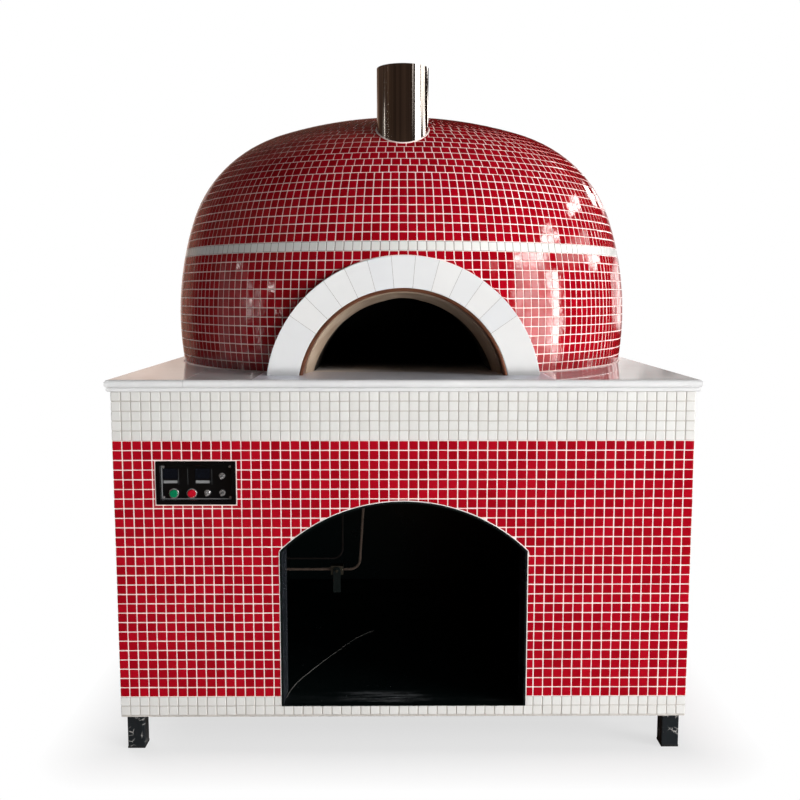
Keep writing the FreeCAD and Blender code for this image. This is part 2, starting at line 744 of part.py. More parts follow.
# Mouth: a ring of stones on the landing plate, a thin metal ring inside it, and the splayed throat.
below_sides = ("4 * arch_outer", "4 * arch_outer", "2 * arch_outer")
below_place = ("-2 * arch_outer", "arch_face - arch_outer", "counter_top - 2 * arch_outer")
below_counter = box("below_counter", below_sides, below_place)
stone_ring = mouth_bar("stone_ring", "arch_outer", "arch_face", "arch_depth")
stone_room = mouth_bar("stone_room", "arch_radius", "arch_face", "arch_depth")
blades = []
for side in LEFT_RIGHT:
    for count in range(int(size("arch_joints_per_side"))):
        blade = doc.addObject("Part::Box", f"blade_{side + 2}_{count + 1}")
        blade.setExpression("Length", in_sheet("arch_joint"))
        blade.setExpression("Width", in_sheet("arch_depth"))
        blade.setExpression("Height", in_sheet("2 * arch_outer"))
        lean = side * (count + 0.5) * size("arch_stone_angle")
        foot = Vector(0, size("arch_face"), size("arch_level"))
        middle = Placement(Vector(-size("arch_joint") / 2, 0, 0), Rotation())
        blade.Placement = Placement(foot, Rotation(Vector(0, 1, 0), lean)).multiply(middle)
        blades.append(blade)
keep(cut("arch_stones", stone_ring, stone_room, below_counter, *blades))

ring_solid = mouth_bar("ring_solid", "arch_radius - seat_gap", "arch_face", "ring_depth")
ring_room = mouth_bar("ring_room", "arch_radius - seat_gap - ring_thickness", "arch_face", "ring_depth")
keep(cut("arch_ring", ring_solid, ring_room, below_counter))

throat_solid = mouth_bar("throat_solid", "throat_outer", "ring_back", "chamber_axis - ring_back")
splay = cone("splay", "throat_radius + throat_splay", "throat_radius", "throat_splay_depth",
             ("0", "ring_back", "arch_level"), "Y")
flue_bore = rod("flue_bore", "flue_radius - flue_wall", "dome_height", ("0", "flue_axis", "counter_top"))
keep(cut("mouth_throat", throat_solid, splay, doorway, below_counter, chamber_room, flue_bore))

# Flue: a thin stainless pipe that stands on the throat and comes out through the front of the dome.
flue_outer = rod("flue_outer", "flue_radius", "flue_rise", ("0", "flue_axis", "counter_top"))
flue_inner = rod("flue_inner", "flue_radius - flue_wall", "flue_rise", ("0", "flue_axis", "counter_top"))
keep(cut("flue_pipe", flue_outer, flue_inner, throat_room))


# Gas line: inlet at the back, control valve, valve with a lever in the store, and tubes up to the burners.
def bent_path(corners, radius):
    """Straight runs joined by tangent arcs of one radius."""
    runs = []
    start = corners[0]
    for before, corner, after in zip(corners, corners[1:], corners[2:]):
        coming = (corner - before).normalize()
        going = (after - corner).normalize()
        half_turn = coming.getAngle(going) / 2
        reach = radius * math.tan(half_turn)
        inward = (going - coming).normalize()
        middle = corner + inward * (radius / math.cos(half_turn) - radius)
        runs.append(Part.LineSegment(start, corner - coming * reach).toShape())
        runs.append(Part.Arc(corner - coming * reach, middle, corner + going * reach).toShape())
        start = corner + going * reach
    runs.append(Part.LineSegment(start, corners[-1]).toShape())
    return Part.Wire(runs)


def bent_tube(name, corners, radius):
    """A thin copper tube along its runs and bends."""
    path = bent_path(corners, size("tube_bend"))
    heading = corners[1] - corners[0]

    def swept(section):
        rim = Part.Wire(Part.Circle(corners[0], heading, section).toShape())
        return path.makePipeShell([rim], True, False)

    return shaped(name, swept(radius).cut(swept(radius - size("tube_wall"))))


gas_x = -size("gas_valve_offset")
gas_y = size("gas_plane")
gas_z = size("gas_level")
service_x = -size("service_offset")
half_valve = size("gas_valve_length") / 2
half_control = size("control_valve_length") / 2
axis_y = size("chamber_axis")
pipe_z = size("bearer_level") - size("pipe_drop")
floor_z = size("counter_top")

inlet_end = size("service_wall") + size("fitting_proud") - size("inlet_length")
rear_run = [Vector(service_x, inlet_end, gas_z), Vector(service_x, half_control, gas_z)]
keep(bent_tube("gas_supply_rear", rear_run, size("gas_tube_radius")))
front_run = [
    Vector(service_x, -half_control, gas_z),
    Vector(service_x, gas_y, gas_z),
    Vector(gas_x - half_valve, gas_y, gas_z),
]
keep(bent_tube("gas_supply_front", front_run, size("gas_tube_radius")))
riser_x = -size("riser_offset")
riser_top = Vector(riser_x + size("riser_lean"), gas_y, pipe_z)
riser_run = [
    Vector(gas_x + half_valve, gas_y, gas_z),
    Vector(riser_x, gas_y, gas_z),
    riser_top,
    Vector(-size("burner_offset"), axis_y, pipe_z),
    Vector(-size("burner_offset"), axis_y, floor_z),
]
keep(bent_tube("gas_riser", riser_run, size("gas_tube_radius")))
pilot_z = gas_z + size("pilot_run_rise")
pilot_y = gas_y - size("pilot_run_forward")
pilot_start = service_x + size("control_valve_width") / 2 - size("tube_bend") / 2
pilot_top = size("bearer_level") - size("pilot_drop")
pilot_run = [
    Vector(pilot_start, -half_control, pilot_z),
    Vector(pilot_start, pilot_y, pilot_z),
    Vector(-size("pilot_run_end"), pilot_y, pilot_z),
    Vector(-size("pilot_run_end"), pilot_y, pilot_top),
    Vector(-size("pilot_offset"), axis_y, pilot_top),
    Vector(-size("pilot_offset"), axis_y, floor_z),
]
keep(bent_tube("pilot_tube", pilot_run, size("pilot_tube_radius")))

control_valve_sides = ("control_valve_width", "control_valve_length", "control_valve_height")
control_valve_place = (
    "-1 * service_offset - control_valve_width / 2",
    "-1 * control_valve_length / 2",
    "gas_level - control_valve_height / 2",
)
keep(box("gas_control_valve", control_valve_sides, control_valve_place))
inlet_place = ("-1 * service_offset", "service_wall + fitting_proud - inlet_length", "gas_level")
inlet_stub = rod("inlet_stub", "inlet_radius", "inlet_length", inlet_place, "Y")
inlet_nut_length = "inlet_length - fitting_proud - cladding"
inlet_nut = hexagon("inlet_hexagon", "inlet_nut", inlet_nut_length, inlet_place, "Y")
inlet_bore = rod("inlet_bore", "gas_tube_radius - tube_wall", "inlet_length", inlet_place, "Y")
socket_place = ("-1 * service_offset", "service_wall + fitting_proud - inlet_socket_depth", "gas_level")
inlet_socket = rod("inlet_socket", "inlet_socket_radius", "inlet_socket_depth", socket_place, "Y")
keep(cut("gas_inlet", fuse("inlet_fitting", inlet_stub, inlet_nut), inlet_bore, inlet_socket))

valve_sides = ("gas_valve_length", "gas_valve_side", "gas_valve_side")
valve_place = (
    "-1 * gas_valve_offset - gas_valve_length / 2",
    "gas_plane - gas_valve_side / 2",
    "gas_level - gas_valve_side / 2",
)
stem_place = ("-1 * gas_valve_offset", "gas_stem_face - gas_stem_length", "gas_level")
valve_stem = rod("valve_stem", "gas_stem_radius", "gas_stem_length", stem_place, "Y")
valve_collar_place = ("-1 * gas_valve_offset", "gas_stem_face - gas_lever_hub", "gas_level")
valve_collar = rod("valve_collar", "2 * gas_stem_radius", "gas_lever_hub", valve_collar_place, "Y")
keep(fuse("gas_valve_body", box("valve_block", valve_sides, valve_place), valve_stem, valve_collar))
lever_front = "gas_stem_face - gas_lever_hub - seat_gap - gas_lever_thickness"
lever_sides = ("gas_lever_width", "gas_lever_thickness", "gas_lever_length")
strap_place = ("-1 * gas_valve_offset - gas_lever_width / 2", lever_front, "gas_level - gas_lever_length")
lever_strap = box("lever_strap", lever_sides, strap_place)
lever_head_place = ("-1 * gas_valve_offset", lever_front, "gas_level")
lever_head = rod("lever_head", "gas_lever_width / 2", "gas_lever_thickness", lever_head_place, "Y")
lever_bore_radius = "gas_stem_radius + shaft_clearance"
lever_bore = rod("lever_bore", lever_bore_radius, "gas_lever_thickness", lever_head_place, "Y")
keep(cut("gas_valve_lever", fuse("lever_plate", lever_strap, lever_head), lever_bore))

# Burners on the chamber's floor, the thermocouple under it, and the cable gland at the back.
burner_sides = ("burner_width", "burner_length", "burner_height")
burner_place = (
    "-1 * burner_offset - burner_width / 2",
    "chamber_axis - burner_length / 2",
    "counter_top",
)
port_sides = ("burner_width", "burner_port_width", "burner_port_depth")
ports = []
for count in range(int(size("burner_ports"))):
    port_step = f"( {count} + 1 ) * burner_length / ( burner_ports + 1 )"
    port_place = (
        "-1 * burner_offset - burner_width / 2",
        f"chamber_axis - burner_length / 2 + {port_step} - burner_port_width / 2",
        "counter_top + burner_height - burner_port_depth",
    )
    ports.append(box(f"burner_port_{count + 1}", port_sides, port_place))
keep(cut("burner", box("burner_block", burner_sides, burner_place), *ports))
pilot_place = ("-1 * pilot_offset", "chamber_axis", "counter_top")
keep(rod("pilot_burner", "pilot_radius", "pilot_height", pilot_place))
probe_place = ("probe_offset", "chamber_axis + probe_behind", "base_top - probe_length")
keep(rod("hearth_thermocouple", "probe_radius", "probe_length", probe_place))
gland_place = ("-1 * gland_offset", "service_wall + fitting_proud - gland_length", "gas_level")
gland_stub = rod("gland_stub", "gland_radius", "gland_length", gland_place, "Y")
gland_nut_length = "gland_length - fitting_proud - cladding"
gland_nut = hexagon("gland_hexagon", "gland_nut", gland_nut_length, gland_place, "Y")
gland_bore = rod("gland_bore", "gland_radius / 2", "gland_length", gland_place, "Y")
keep(cut("cable_gland", fuse("gland_fitting", gland_stub, gland_nut), gland_bore))


# Control panel: a black frame let into the tiles, a recessed face, and a housing behind it.
def panel_x(column):
    """A place across the panel, from its middle."""
    return f"{column} - panel_offset"


def panel_z(row):
    """A place up the panel, from its middle."""
    return f"panel_level + {row}"


def panel_block(name, width, height, front, depth, column="0", row="0"):
    """A block on the panel, about a middle given by its column and row."""
    corner = (f"{panel_x(column)} - ( {width} ) / 2", front, f"{panel_z(row)} - ( {height} ) / 2")
    return box(name, (width, depth, height), corner)


frame_depth = "panel_face - panel_front"
frame_block = panel_block("panel_frame_block", "panel_width", "panel_height", "panel_front", frame_depth)
frame_room = panel_block("panel_frame_room", "panel_width - 2 * panel_border",
                         "panel_height - 2 * panel_border", "panel_front", frame_depth)
keep(cut("panel_frame", frame_block, frame_room))
housing_block = panel_block("housing_block", "panel_width", "panel_height", "panel_rest", "housing_depth")
housing_room = panel_block("housing_room", "panel_width - 2 * housing_wall",
                           "panel_height - 2 * housing_wall", "panel_rest", "housing_depth - housing_wall")
keep(cut("panel_housing", housing_block, housing_room))

BUTTONS = {"green": "green_column", "red": "red_column"}
TOGGLES = {
    "left": ("toggle_left_column", "toggle_low_row"),
    "right": ("toggle_right_column", "toggle_low_row"),
    "upper": ("toggle_right_column", "toggle_high_row"),
}
DISPLAYS = {"left": "display_left_column", "right": "display_right_column"}
face_holes = []
button_bodies = []
toggle_bodies = []
displays = []
screws = []


def panel_rod(name, radius, front, length, column, row):
    """A round bar square to the panel."""
    return rod(name, radius, length, (panel_x(column), front, panel_z(row)), "Y")


# Push buttons: a bright rim and a body through the face, with a sprung cap that slides in.
for colour, column in BUTTONS.items():
    spot = (column, "button_row")
    well_radius = "button_radius + seat_gap"
    body_radius = f"{well_radius} + button_rim / 2"
    face_holes.append(panel_rod(f"{colour}_hole", body_radius, "panel_face", "face_thickness", *spot))
    rim_front = "panel_face - button_rim_height"
    rim = panel_rod(f"{colour}_rim", f"{well_radius} + button_rim", rim_front, "button_rim_height", *spot)
    body = panel_rod(f"{colour}_body", body_radius, "panel_face", "button_body_length", *spot)
    well_depth = "button_rim_height + button_length - button_proud + button_travel + face_thickness"
    well = panel_rod(f"{colour}_well", well_radius, rim_front, well_depth, *spot)
    guide_radius = "button_stem_radius + shaft_clearance"
    guide = panel_rod(f"{colour}_guide", guide_radius, "panel_face", "button_body_length", *spot)
    button_bodies.append(cut(f"button_body_{colour}", fuse(f"{colour}_case", rim, body), well, guide))
    cap_front = "panel_face - button_proud"
    cap = panel_rod(f"{colour}_cap", "button_radius", cap_front, "button_length", *spot)
    doc.recompute()
    cap_face = cap.Shape.BoundBox.YMin
    cap_round = rounded(f"{colour}_cap_round", cap, size("button_round"),
                        lambda point, face=cap_face: abs(point.y - face) < size("seat_gap"))
    stem_front = f"{cap_front} + button_length"
    stem = panel_rod(f"{colour}_stem", "button_stem_radius", stem_front, "button_stem_length", *spot)
    keep(fuse(f"button_{colour}", cap_round, stem))
keep(group("button_bodies", button_bodies))

# Toggle switches: a bush with a nut on the face, and a lever on a cross pin in the bush.
for place, spot in TOGGLES.items():
    face_holes.append(panel_rod(f"toggle_hole_{place}", "toggle_bush_radius + seat_gap", "panel_face",
                                "face_thickness", *spot))
    bush_front = "panel_face - toggle_bush_length"
    bush = panel_rod(f"bush_{place}", "toggle_bush_radius", bush_front,
                     "toggle_bush_length + face_thickness", *spot)
    nut_place = (panel_x(spot[0]), "panel_face - toggle_nut_height", panel_z(spot[1]))
    nut = hexagon(f"toggle_nut_{place}", "toggle_nut_radius", "toggle_nut_height", nut_place, "Y")
    switch = panel_block(f"switch_{place}", "toggle_body_side", "toggle_body_side", "panel_rest",
                         "toggle_body_length", *spot)
    bore_length = "toggle_bush_length + face_thickness + toggle_bore_radius"
    bore = panel_rod(f"bush_bore_{place}", "toggle_bore_radius", bush_front, bore_length, *spot)
    pin_hole_place = (f"{panel_x(spot[0])} - toggle_pin_length / 2", "toggle_pivot", panel_z(spot[1]))
    pin_hole_radius = "toggle_pin_radius + shaft_clearance"
    pin_hole = rod(f"pin_hole_{place}", pin_hole_radius, "toggle_pin_length", pin_hole_place, "X")
    case = fuse(f"toggle_case_{place}", bush, nut, switch)
    toggle_bodies.append(cut(f"toggle_body_{place}", case, bore, pin_hole))
    bat_place = (panel_x(spot[0]), "toggle_pivot - toggle_lever_length", panel_z(spot[1]))
    bat = cone(f"bat_{place}", "toggle_lever_tip", "toggle_lever_root", "toggle_lever_length",
               bat_place, "Y")
    pin_start = f"{panel_x(spot[0])} - toggle_pin_length / 2 + shaft_clearance"
    pin_length = "toggle_pin_length - 2 * shaft_clearance"
    pin_place = (pin_start, "toggle_pivot", panel_z(spot[1]))
    pin = rod(f"pin_{place}", "toggle_pin_radius", pin_length, pin_place, "X")
    lever = keep(fuse(f"toggle_lever_{place}", bat, pin))
    pivot = Vector(0, size("toggle_pivot"), size("panel_level") + size(spot[1]))
    lever.Placement = Placement(Vector(), Rotation(Vector(1, 0, 0), size("toggle_tilt")), pivot)
keep(group("toggle_bodies", toggle_bodies))

# Displays through the face with a thin rim before it, and a screw near each corner.
for side, column in DISPLAYS.items():
    spot = (column, "display_row")
    face_holes.append(panel_block(f"display_hole_{side}", "display_width + 2 * seat_gap",
                                  "display_height + 2 * seat_gap", "panel_face", "face_thickness", *spot))
    rim_plate = panel_block(f"display_rim_{side}", "display_width + 2 * display_rim",
                            "display_height + 2 * display_rim", "panel_face - display_rim",
                            "display_rim", *spot)
    module = panel_block(f"display_module_{side}", "display_width", "display_height", "panel_face",
                         "display_depth", *spot)
    displays.append(fuse(f"display_{side}", rim_plate, module))
keep(group("displays", displays))
for across in LEFT_RIGHT:
    for upward in (-1, 1):
        spot = (
            f"{across} * ( panel_width / 2 - panel_border - screw_inset )",
            f"{upward} * ( panel_height / 2 - panel_border - screw_inset )",
        )
        mark = f"{across + 2}_{upward + 2}"
        face_holes.append(panel_rod(f"screw_hole_{mark}", "screw_radius + shaft_clearance", "panel_face",
                                    "face_thickness", *spot))
        head = panel_rod(f"screw_head_{mark}", "screw_head_radius", "panel_face - screw_head_height",
                         "screw_head_height", *spot)
        shank = panel_rod(f"screw_shank_{mark}", "screw_radius", "panel_face", "screw_length", *spot)
        screws.append(fuse(f"screw_{mark}", head, shank))
keep(group("panel_screws", screws))
face_plate = panel_block("face_plate", "panel_width", "panel_height", "panel_face", "face_thickness")
keep(cut("panel_face", face_plate, *face_holes))

# Every object has to be sound before anything is written.
doc.recompute()
for item in doc.Objects:
    if "Invalid" in item.State or "Error" in item.State:
        raise RuntimeError(f"{item.Label} failed: {item.State}")
for piece in sub_parts:
    if piece.Shape.isNull() or not piece.Shape.isValid() or not piece.Shape.Solids:
        raise RuntimeError(f"{piece.Label} has no sound solid")

os.makedirs("parts", exist_ok=True)
for piece in sub_parts:
    piece.Shape.exportStep(f"parts/{piece.Label}.step")
    bounds = piece.Shape.BoundBox
    corners = (bounds.XMin, bounds.XMax, bounds.YMin, bounds.YMax, bounds.ZMin, bounds.ZMax)
    print(piece.Label, len(piece.Shape.Solids), "solids", round(piece.Shape.Volume), "mm3",
          [round(value, 1) for value in corners])
print(len(sub_parts), "sub-parts")
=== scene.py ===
"""Dome pizza oven on a tiled stand: its tiles, stone, steel and controls, over the solid parts.

Lengths are in metres. The origin is on the floor under the middle of the counter, with X to the right,
Y to the back and Z up.
"""
import math

import bmesh
import bpy
import numpy as np
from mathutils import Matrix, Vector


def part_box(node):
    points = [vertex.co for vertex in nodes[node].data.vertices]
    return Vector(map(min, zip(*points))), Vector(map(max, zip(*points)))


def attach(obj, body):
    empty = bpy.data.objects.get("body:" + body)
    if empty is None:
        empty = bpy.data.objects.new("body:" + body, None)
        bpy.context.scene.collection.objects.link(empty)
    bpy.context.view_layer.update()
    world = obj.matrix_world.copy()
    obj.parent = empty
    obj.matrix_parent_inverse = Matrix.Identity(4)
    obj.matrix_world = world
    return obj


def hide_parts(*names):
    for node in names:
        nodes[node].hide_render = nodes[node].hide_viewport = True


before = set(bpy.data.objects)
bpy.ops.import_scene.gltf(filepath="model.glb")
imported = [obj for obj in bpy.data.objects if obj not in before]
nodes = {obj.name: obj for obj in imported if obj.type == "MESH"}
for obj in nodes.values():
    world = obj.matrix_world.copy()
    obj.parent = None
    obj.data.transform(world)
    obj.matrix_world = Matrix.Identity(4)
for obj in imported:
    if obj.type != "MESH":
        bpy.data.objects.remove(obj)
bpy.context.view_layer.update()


# Stand frame: square steel tube, welded into four legs with deep rails above and flat rails below.
# It is sprayed black, and the feet are scuffed through to grey where the stand was dragged about.
# Each leg ends in a moulded rubber pad.
def fill(tree, socket, feed):
    """An input filled: a socket is linked, a value is set, None is left. A colour has three parts."""
    if isinstance(feed, bpy.types.NodeSocket):
        tree.links.new(feed, socket)
    elif feed is not None:
        socket.default_value = (*feed, 1) if socket.type == "RGBA" else feed


def add_node(tree, kind, *feeds, **settings):
    """A node of one kind, with its inputs filled in order."""
    node = tree.nodes.new("ShaderNode" + kind)
    for setting, value in settings.items():
        setattr(node, setting, value)
    for socket, feed in zip(node.inputs, feeds):
        fill(tree, socket, feed)
    return node


def combine(tree, operation, *feeds):
    """Values put together by one operation, as a socket."""
    return add_node(tree, "Math", *feeds, operation=operation).outputs[0]


def combine_vectors(tree, operation, *feeds):
    """Vectors put together by one operation, as a socket."""
    return add_node(tree, "VectorMath", *feeds, operation=operation).outputs[0]


def remap(tree, value, low, high, first, last):
    """The value carried from the range low to high over to the range first to last, held at its ends."""
    return add_node(tree, "MapRange", value, low, high, first, last).outputs[0]


def soft_noise(tree, place, scale, detail=3.0, roughness=0.55):
    """Cloudy noise with this many cycles to the metre, as a value about 0.5."""
    return add_node(tree, "TexNoise", place, None, scale, detail, roughness).outputs[0]


def blend_colour(tree, share, first, second):
    """The first colour where the share is 0, the second where it is 1, as a socket."""
    node = add_node(tree, "Mix", data_type="RGBA")
    for key, feed in (("Factor_Float", share), ("A_Color", first), ("B_Color", second)):
        fill(tree, next(item for item in node.inputs if item.identifier == key), feed)
    return next(item for item in node.outputs if item.identifier == "Result_Color")


def new_effect(name, sockets_in, sockets_out):
    """An empty shader group with a place and named sockets: its tree, what comes in and what goes out."""
    tree = bpy.data.node_groups.new(name, "ShaderNodeTree")
    for label, kind, value in (("Place", "Vector", None), *sockets_in):
        socket = tree.interface.new_socket(label, in_out="INPUT", socket_type="NodeSocket" + kind)
        if value is not None:
            socket.default_value = value
    for label, kind in sockets_out:
        tree.interface.new_socket(label, in_out="OUTPUT", socket_type="NodeSocket" + kind)
    return tree, tree.nodes.new("NodeGroupInput").outputs, tree.nodes.new("NodeGroupOutput").inputs


def place_effect(tree, effect, place, **values):
    """The group placed in a material, on the material's coordinates and with its own values: its outputs."""
    node = add_node(tree, "Group", node_tree=effect)
    fill(tree, node.inputs["Place"], place)
    for label, value in values.items():
        fill(tree, node.inputs[label.replace("_", " ").capitalize()], value)
    return node.outputs


def new_finish(name, colour, roughness, metallic=0.0):
    """A fresh material with a Principled shader: the material, its tree and its Object coordinates."""
    material = bpy.data.materials.new(name)
    material.use_nodes = True
    tree = material.node_tree
    for label, value in (("Base Color", colour), ("Roughness", roughness), ("Metallic", metallic)):
        fill(tree, tree.nodes["Principled BSDF"].inputs[label], value)
    return material, tree, add_node(tree, "TexCoord").outputs["Object"]


def feed_shader(material, colour=None, roughness=None, height=None, relief=0.0):
    """The shader fed with a colour, a roughness and a bump, whose height of 0 to 1 stands for the relief."""
    tree = material.node_tree
    shader = tree.nodes["Principled BSDF"]
    fill(tree, shader.inputs["Base Color"], colour)
    fill(tree, shader.inputs["Roughness"], roughness)
    if height is not None:
        bump = add_node(tree, "Bump")
        for label, feed in (("Strength", 1.0), ("Distance", relief), ("Height", height)):
            fill(tree, bump.inputs[label], feed)
        fill(tree, shader.inputs["Normal"], bump.outputs["Normal"])


def dress(material, *names):
    """One finish on several solid parts."""
    for name in names:
        slots = nodes[name].data.materials
        slots.clear()
        slots.append(material)


SCUFF_EDGE = 0.06
scuffs, inlet, outlet = new_effect(
    "scuffs", [("Stretch", "Vector", (1, 1, 1)), ("Size", "Float", 40), ("Bare", "Float", 0.6)],
    [("Mask", "Float"), ("Smear", "Float")])
drawn = combine_vectors(scuffs, "MULTIPLY", inlet["Place"], inlet["Stretch"])
patches = soft_noise(scuffs, drawn, inlet["Size"], 6.0, 0.68)
full_bare = combine(scuffs, "ADD", inlet["Bare"], SCUFF_EDGE)
fill(scuffs, outlet["Mask"], remap(scuffs, patches, inlet["Bare"], full_bare, 0, 1))
fill(scuffs, outlet["Smear"], soft_noise(scuffs, inlet["Place"], 9.0))

FRAME_BLACK = (0.0135, 0.017, 0.0195)
BARE_GREY = (0.42, 0.41, 0.39)
black_steel, tree, place = new_finish("black_steel", FRAME_BLACK, 0.3)
worn = place_effect(tree, scuffs, place, stretch=(1, 1, 0.45), size=75, bare=0.64)
cracks = add_node(tree, "TexVoronoi", place, None, 62.0, feature="DISTANCE_TO_EDGE").outputs["Distance"]
chipped = remap(tree, soft_noise(tree, place, 26, 2.0), 0.56, 0.62, 0, 1)
lines = combine(tree, "MULTIPLY", remap(tree, cracks, 0.015, 0.05, 1, 0), chipped)
bare = combine(tree, "MAXIMUM", lines, worn["Mask"])
feed_shader(black_steel, blend_colour(tree, bare, FRAME_BLACK, BARE_GREY),
            remap(tree, worn["Smear"], 0.3, 0.7, 0.22, 0.45), soft_noise(tree, place, 900), 0.0002)
dress(black_steel, "frame_upper_rails", "frame_lower_rails", "frame_bearers", "deck_plate")


def corners(node):
    """The lowest and the highest corner of a solid part, as arrays."""
    return [np.array(corner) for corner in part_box(node)]


def rounded_section(low, high, arris, points=4):
    """A rectangle with rounded corners: each is a quarter circle of the arris, in its own quarter."""
    turn = np.linspace(0, math.pi / 2, points) + np.arange(4)[:, None] * math.pi / 2
    side = np.array([(1, 1), (-1, 1), (-1, -1), (1, -1)])[:, None]
    middle = np.where(side > 0, high, low) - side * arris
    return (middle + arris * np.stack([np.cos(turn), np.sin(turn)], axis=-1)).reshape(-1, 2)


def swept(x, y, z, endless=False):
    """Points and faces of a surface through rings, whose x, y and z are spread over all rings and points.

    Each ring is joined to the next by four-sided faces. The last is joined to the first, or else each end is
    closed by one flat face.
    """
    rings = np.stack(np.broadcast_arrays(x, y, z), axis=-1)
    steps, count = rings.shape[:2]
    step, around = np.arange(steps)[:, None] * count, np.arange(count)
    onward, after = np.roll(step, -1, axis=0), np.roll(around, -1)
    walls = np.stack([step + around, onward + around, onward + after, step + after], axis=-1)
    if endless:
        return rings.reshape(-1, 3), [walls.reshape(-1, 4)]
    ends = np.stack([around, around[::-1] + step[-1]])
    return rings.reshape(-1, 3), [walls[:-1].reshape(-1, 4), ends]


def drawn_out(outline, axis, first, last):
    """A flat outline carried straight along one axis, from the first place to the last."""
    rings = np.stack([np.insert(outline, axis, place, axis=1) for place in (first, last)])
    return swept(*np.moveaxis(rings, -1, 0))


def joined_mesh(name, shapes):
    """Several shapes of points and faces as one mesh, with its normals turned outwards."""
    points, faces = [], []
    for shape_points, shape_faces in shapes:
        for block in shape_faces:
            faces += (block + len(points)).tolist()
        points += shape_points.tolist()
    mesh = bpy.data.meshes.new(name)
    mesh.from_pydata(points, [], faces)
    shell = bmesh.new()
    shell.from_mesh(mesh)
    bmesh.ops.recalc_face_normals(shell, faces=shell.faces)
    shell.to_mesh(mesh)
    shell.free()
    return mesh


def new_piece(name, mesh, material, replaced=None):
    """A piece of the oven with its finish, hung on the oven's body; the solid part that it stands for is
    hidden.

    Its mesh is given, or it is a list of shapes that are joined.
    """
    if isinstance(mesh, list):
        mesh = joined_mesh(name, mesh)
    piece = bpy.data.objects.new(name, mesh)
    bpy.context.scene.collection.objects.link(piece)
    mesh.materials.append(material)
    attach(piece, "oven")
    if replaced:
        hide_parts(replaced)


LEG_HALF = 0.0225
LEG_CORNER = 0.0035
leg_low, leg_high = corners("frame_legs")
leg_section = rounded_section((-LEG_HALF, -LEG_HALF), (LEG_HALF, LEG_HALF), LEG_CORNER, 5)
leg_shapes = [drawn_out(leg_section + [leg_x, leg_y], 2, leg_high[2], leg_low[2])
              for leg_x in (leg_low[0] + LEG_HALF, leg_high[0] - LEG_HALF)
              for leg_y in (leg_low[1] + LEG_HALF, leg_high[1] - LEG_HALF)]
new_piece("stand_legs", leg_shapes, black_steel, "frame_legs")

pad_rubber, tree, place = new_finish("pad_rubber", (0.018, 0.018, 0.018), 0.8)
feed_shader(pad_rubber, None, remap(tree, soft_noise(tree, place, 120), 0.3, 0.7, 0.7, 0.95),
            soft_noise(tree, place, 1500), 0.0003)
dress(pad_rubber, "foot_pads")

# Store under the hearth: a folded liner in the arch, then plain sheet for the floor and the walls, all in
# black enamel. The liner's front edge is turned over the white edging, and the floor's over the sill.
# Trays have scraped the floor near its front, and a bead of weld runs back across it.
STORE_BLACK = (0.0030, 0.0064, 0.0066)


def enamel(name, colour, smooth, rough, relief, **scuffing):
    """Enamelled sheet with smears in its shine and slow dents: the material, its tree, place and scuffs."""
    material, tree, place = new_finish(name, colour, 0.3)
    worn = place_effect(tree, scuffs, place, **scuffing)
    feed_shader(material, None, remap(tree, worn["Smear"], 0.3, 0.7, smooth, rough),
                soft_noise(tree, place, 35), relief)
    return material, tree, place, worn["Mask"]


store_black, tree, _, patches = enamel("store_black", STORE_BLACK, 0.22, 0.42, 0.0008,
                                       stretch=(1, 1, 0.2), size=30, bare=0.69)
feed_shader(store_black, blend_colour(tree, patches, STORE_BLACK, (0.03, 0.033, 0.036)))
dress(store_black, "store_walls")

# Liner: scuffs in long upright streaks, and a lighter line four fifths of the way back that is a painted
# highlight along a fold.
LINER_BLACK = (0.016, 0.0185, 0.023)
HIGHLIGHT_DEPTH = 0.8
HIGHLIGHT_HALF = 0.0035
liner_black, tree, place, patches = enamel("liner_black", LINER_BLACK, 0.2, 0.38, 0.0006,
                                           stretch=(1, 1, 0.02), size=140, bare=0.63)
liner_low, liner_high = corners("opening_liner")
highlight_at = liner_low[1] + (liner_high[1] - liner_low[1]) * HIGHLIGHT_DEPTH
along = add_node(tree, "SeparateXYZ", place).outputs[1]
from_highlight = combine(tree, "ABSOLUTE", combine(tree, "SUBTRACT", along, highlight_at))
fold_highlight = remap(tree, from_highlight, HIGHLIGHT_HALF * 0.5, HIGHLIGHT_HALF, 0.35, 0)
scuffs_and_highlight = combine(tree, "MAXIMUM", patches, fold_highlight)
feed_shader(liner_black, blend_colour(tree, scuffs_and_highlight, LINER_BLACK, (0.16, 0.175, 0.2)))
dress(liner_black, "opening_liner")

SCUFF_BACK = -0.69
SCUFF_FRONT = -0.73
SCUFF_MIDDLE = -0.05
SCUFF_HALF = 0.13
floor_black, tree, place, patches = enamel("floor_black", STORE_BLACK, 0.25, 0.5, 0.0008,
                                           stretch=(0.05, 2.2, 1), size=110, bare=0.53)
across, along, _ = add_node(tree, "SeparateXYZ", place).outputs
near_sill = remap(tree, along, SCUFF_BACK, SCUFF_FRONT, 0, 0.95)
aside = combine(tree, "ABSOLUTE", combine(tree, "SUBTRACT", across, SCUFF_MIDDLE))
near_middle = remap(tree, aside, SCUFF_HALF * 0.4, SCUFF_HALF, 1, 0.06)
scraped = combine(tree, "MULTIPLY", patches, combine(tree, "MULTIPLY", near_sill, near_middle))
from_crumb = add_node(tree, "TexVoronoi", place, None, 38.0, feature="F1").outputs["Distance"]
bright = combine(tree, "MAXIMUM", scraped, remap(tree, from_crumb, 0.04, 0.055, 0.7, 0))
feed_shader(floor_black, blend_colour(tree, bright, STORE_BLACK, (0.5, 0.52, 0.54)))
dress(floor_black, "store_floor")

(_, STORE_FRONT, STORE_SILL), (STORE_HALF, _, STORE_TOP) = corners("opening_edging")
STORE_RISE = 0.131
STORE_ARC = (STORE_HALF ** 2 + STORE_RISE ** 2) / (2 * STORE_RISE)
EDGING_SHOWN = 0.0019
LINER_FACE = 0.0073
LIP_FRONT = STORE_FRONT - 0.0005
LIP_STEPS = 49

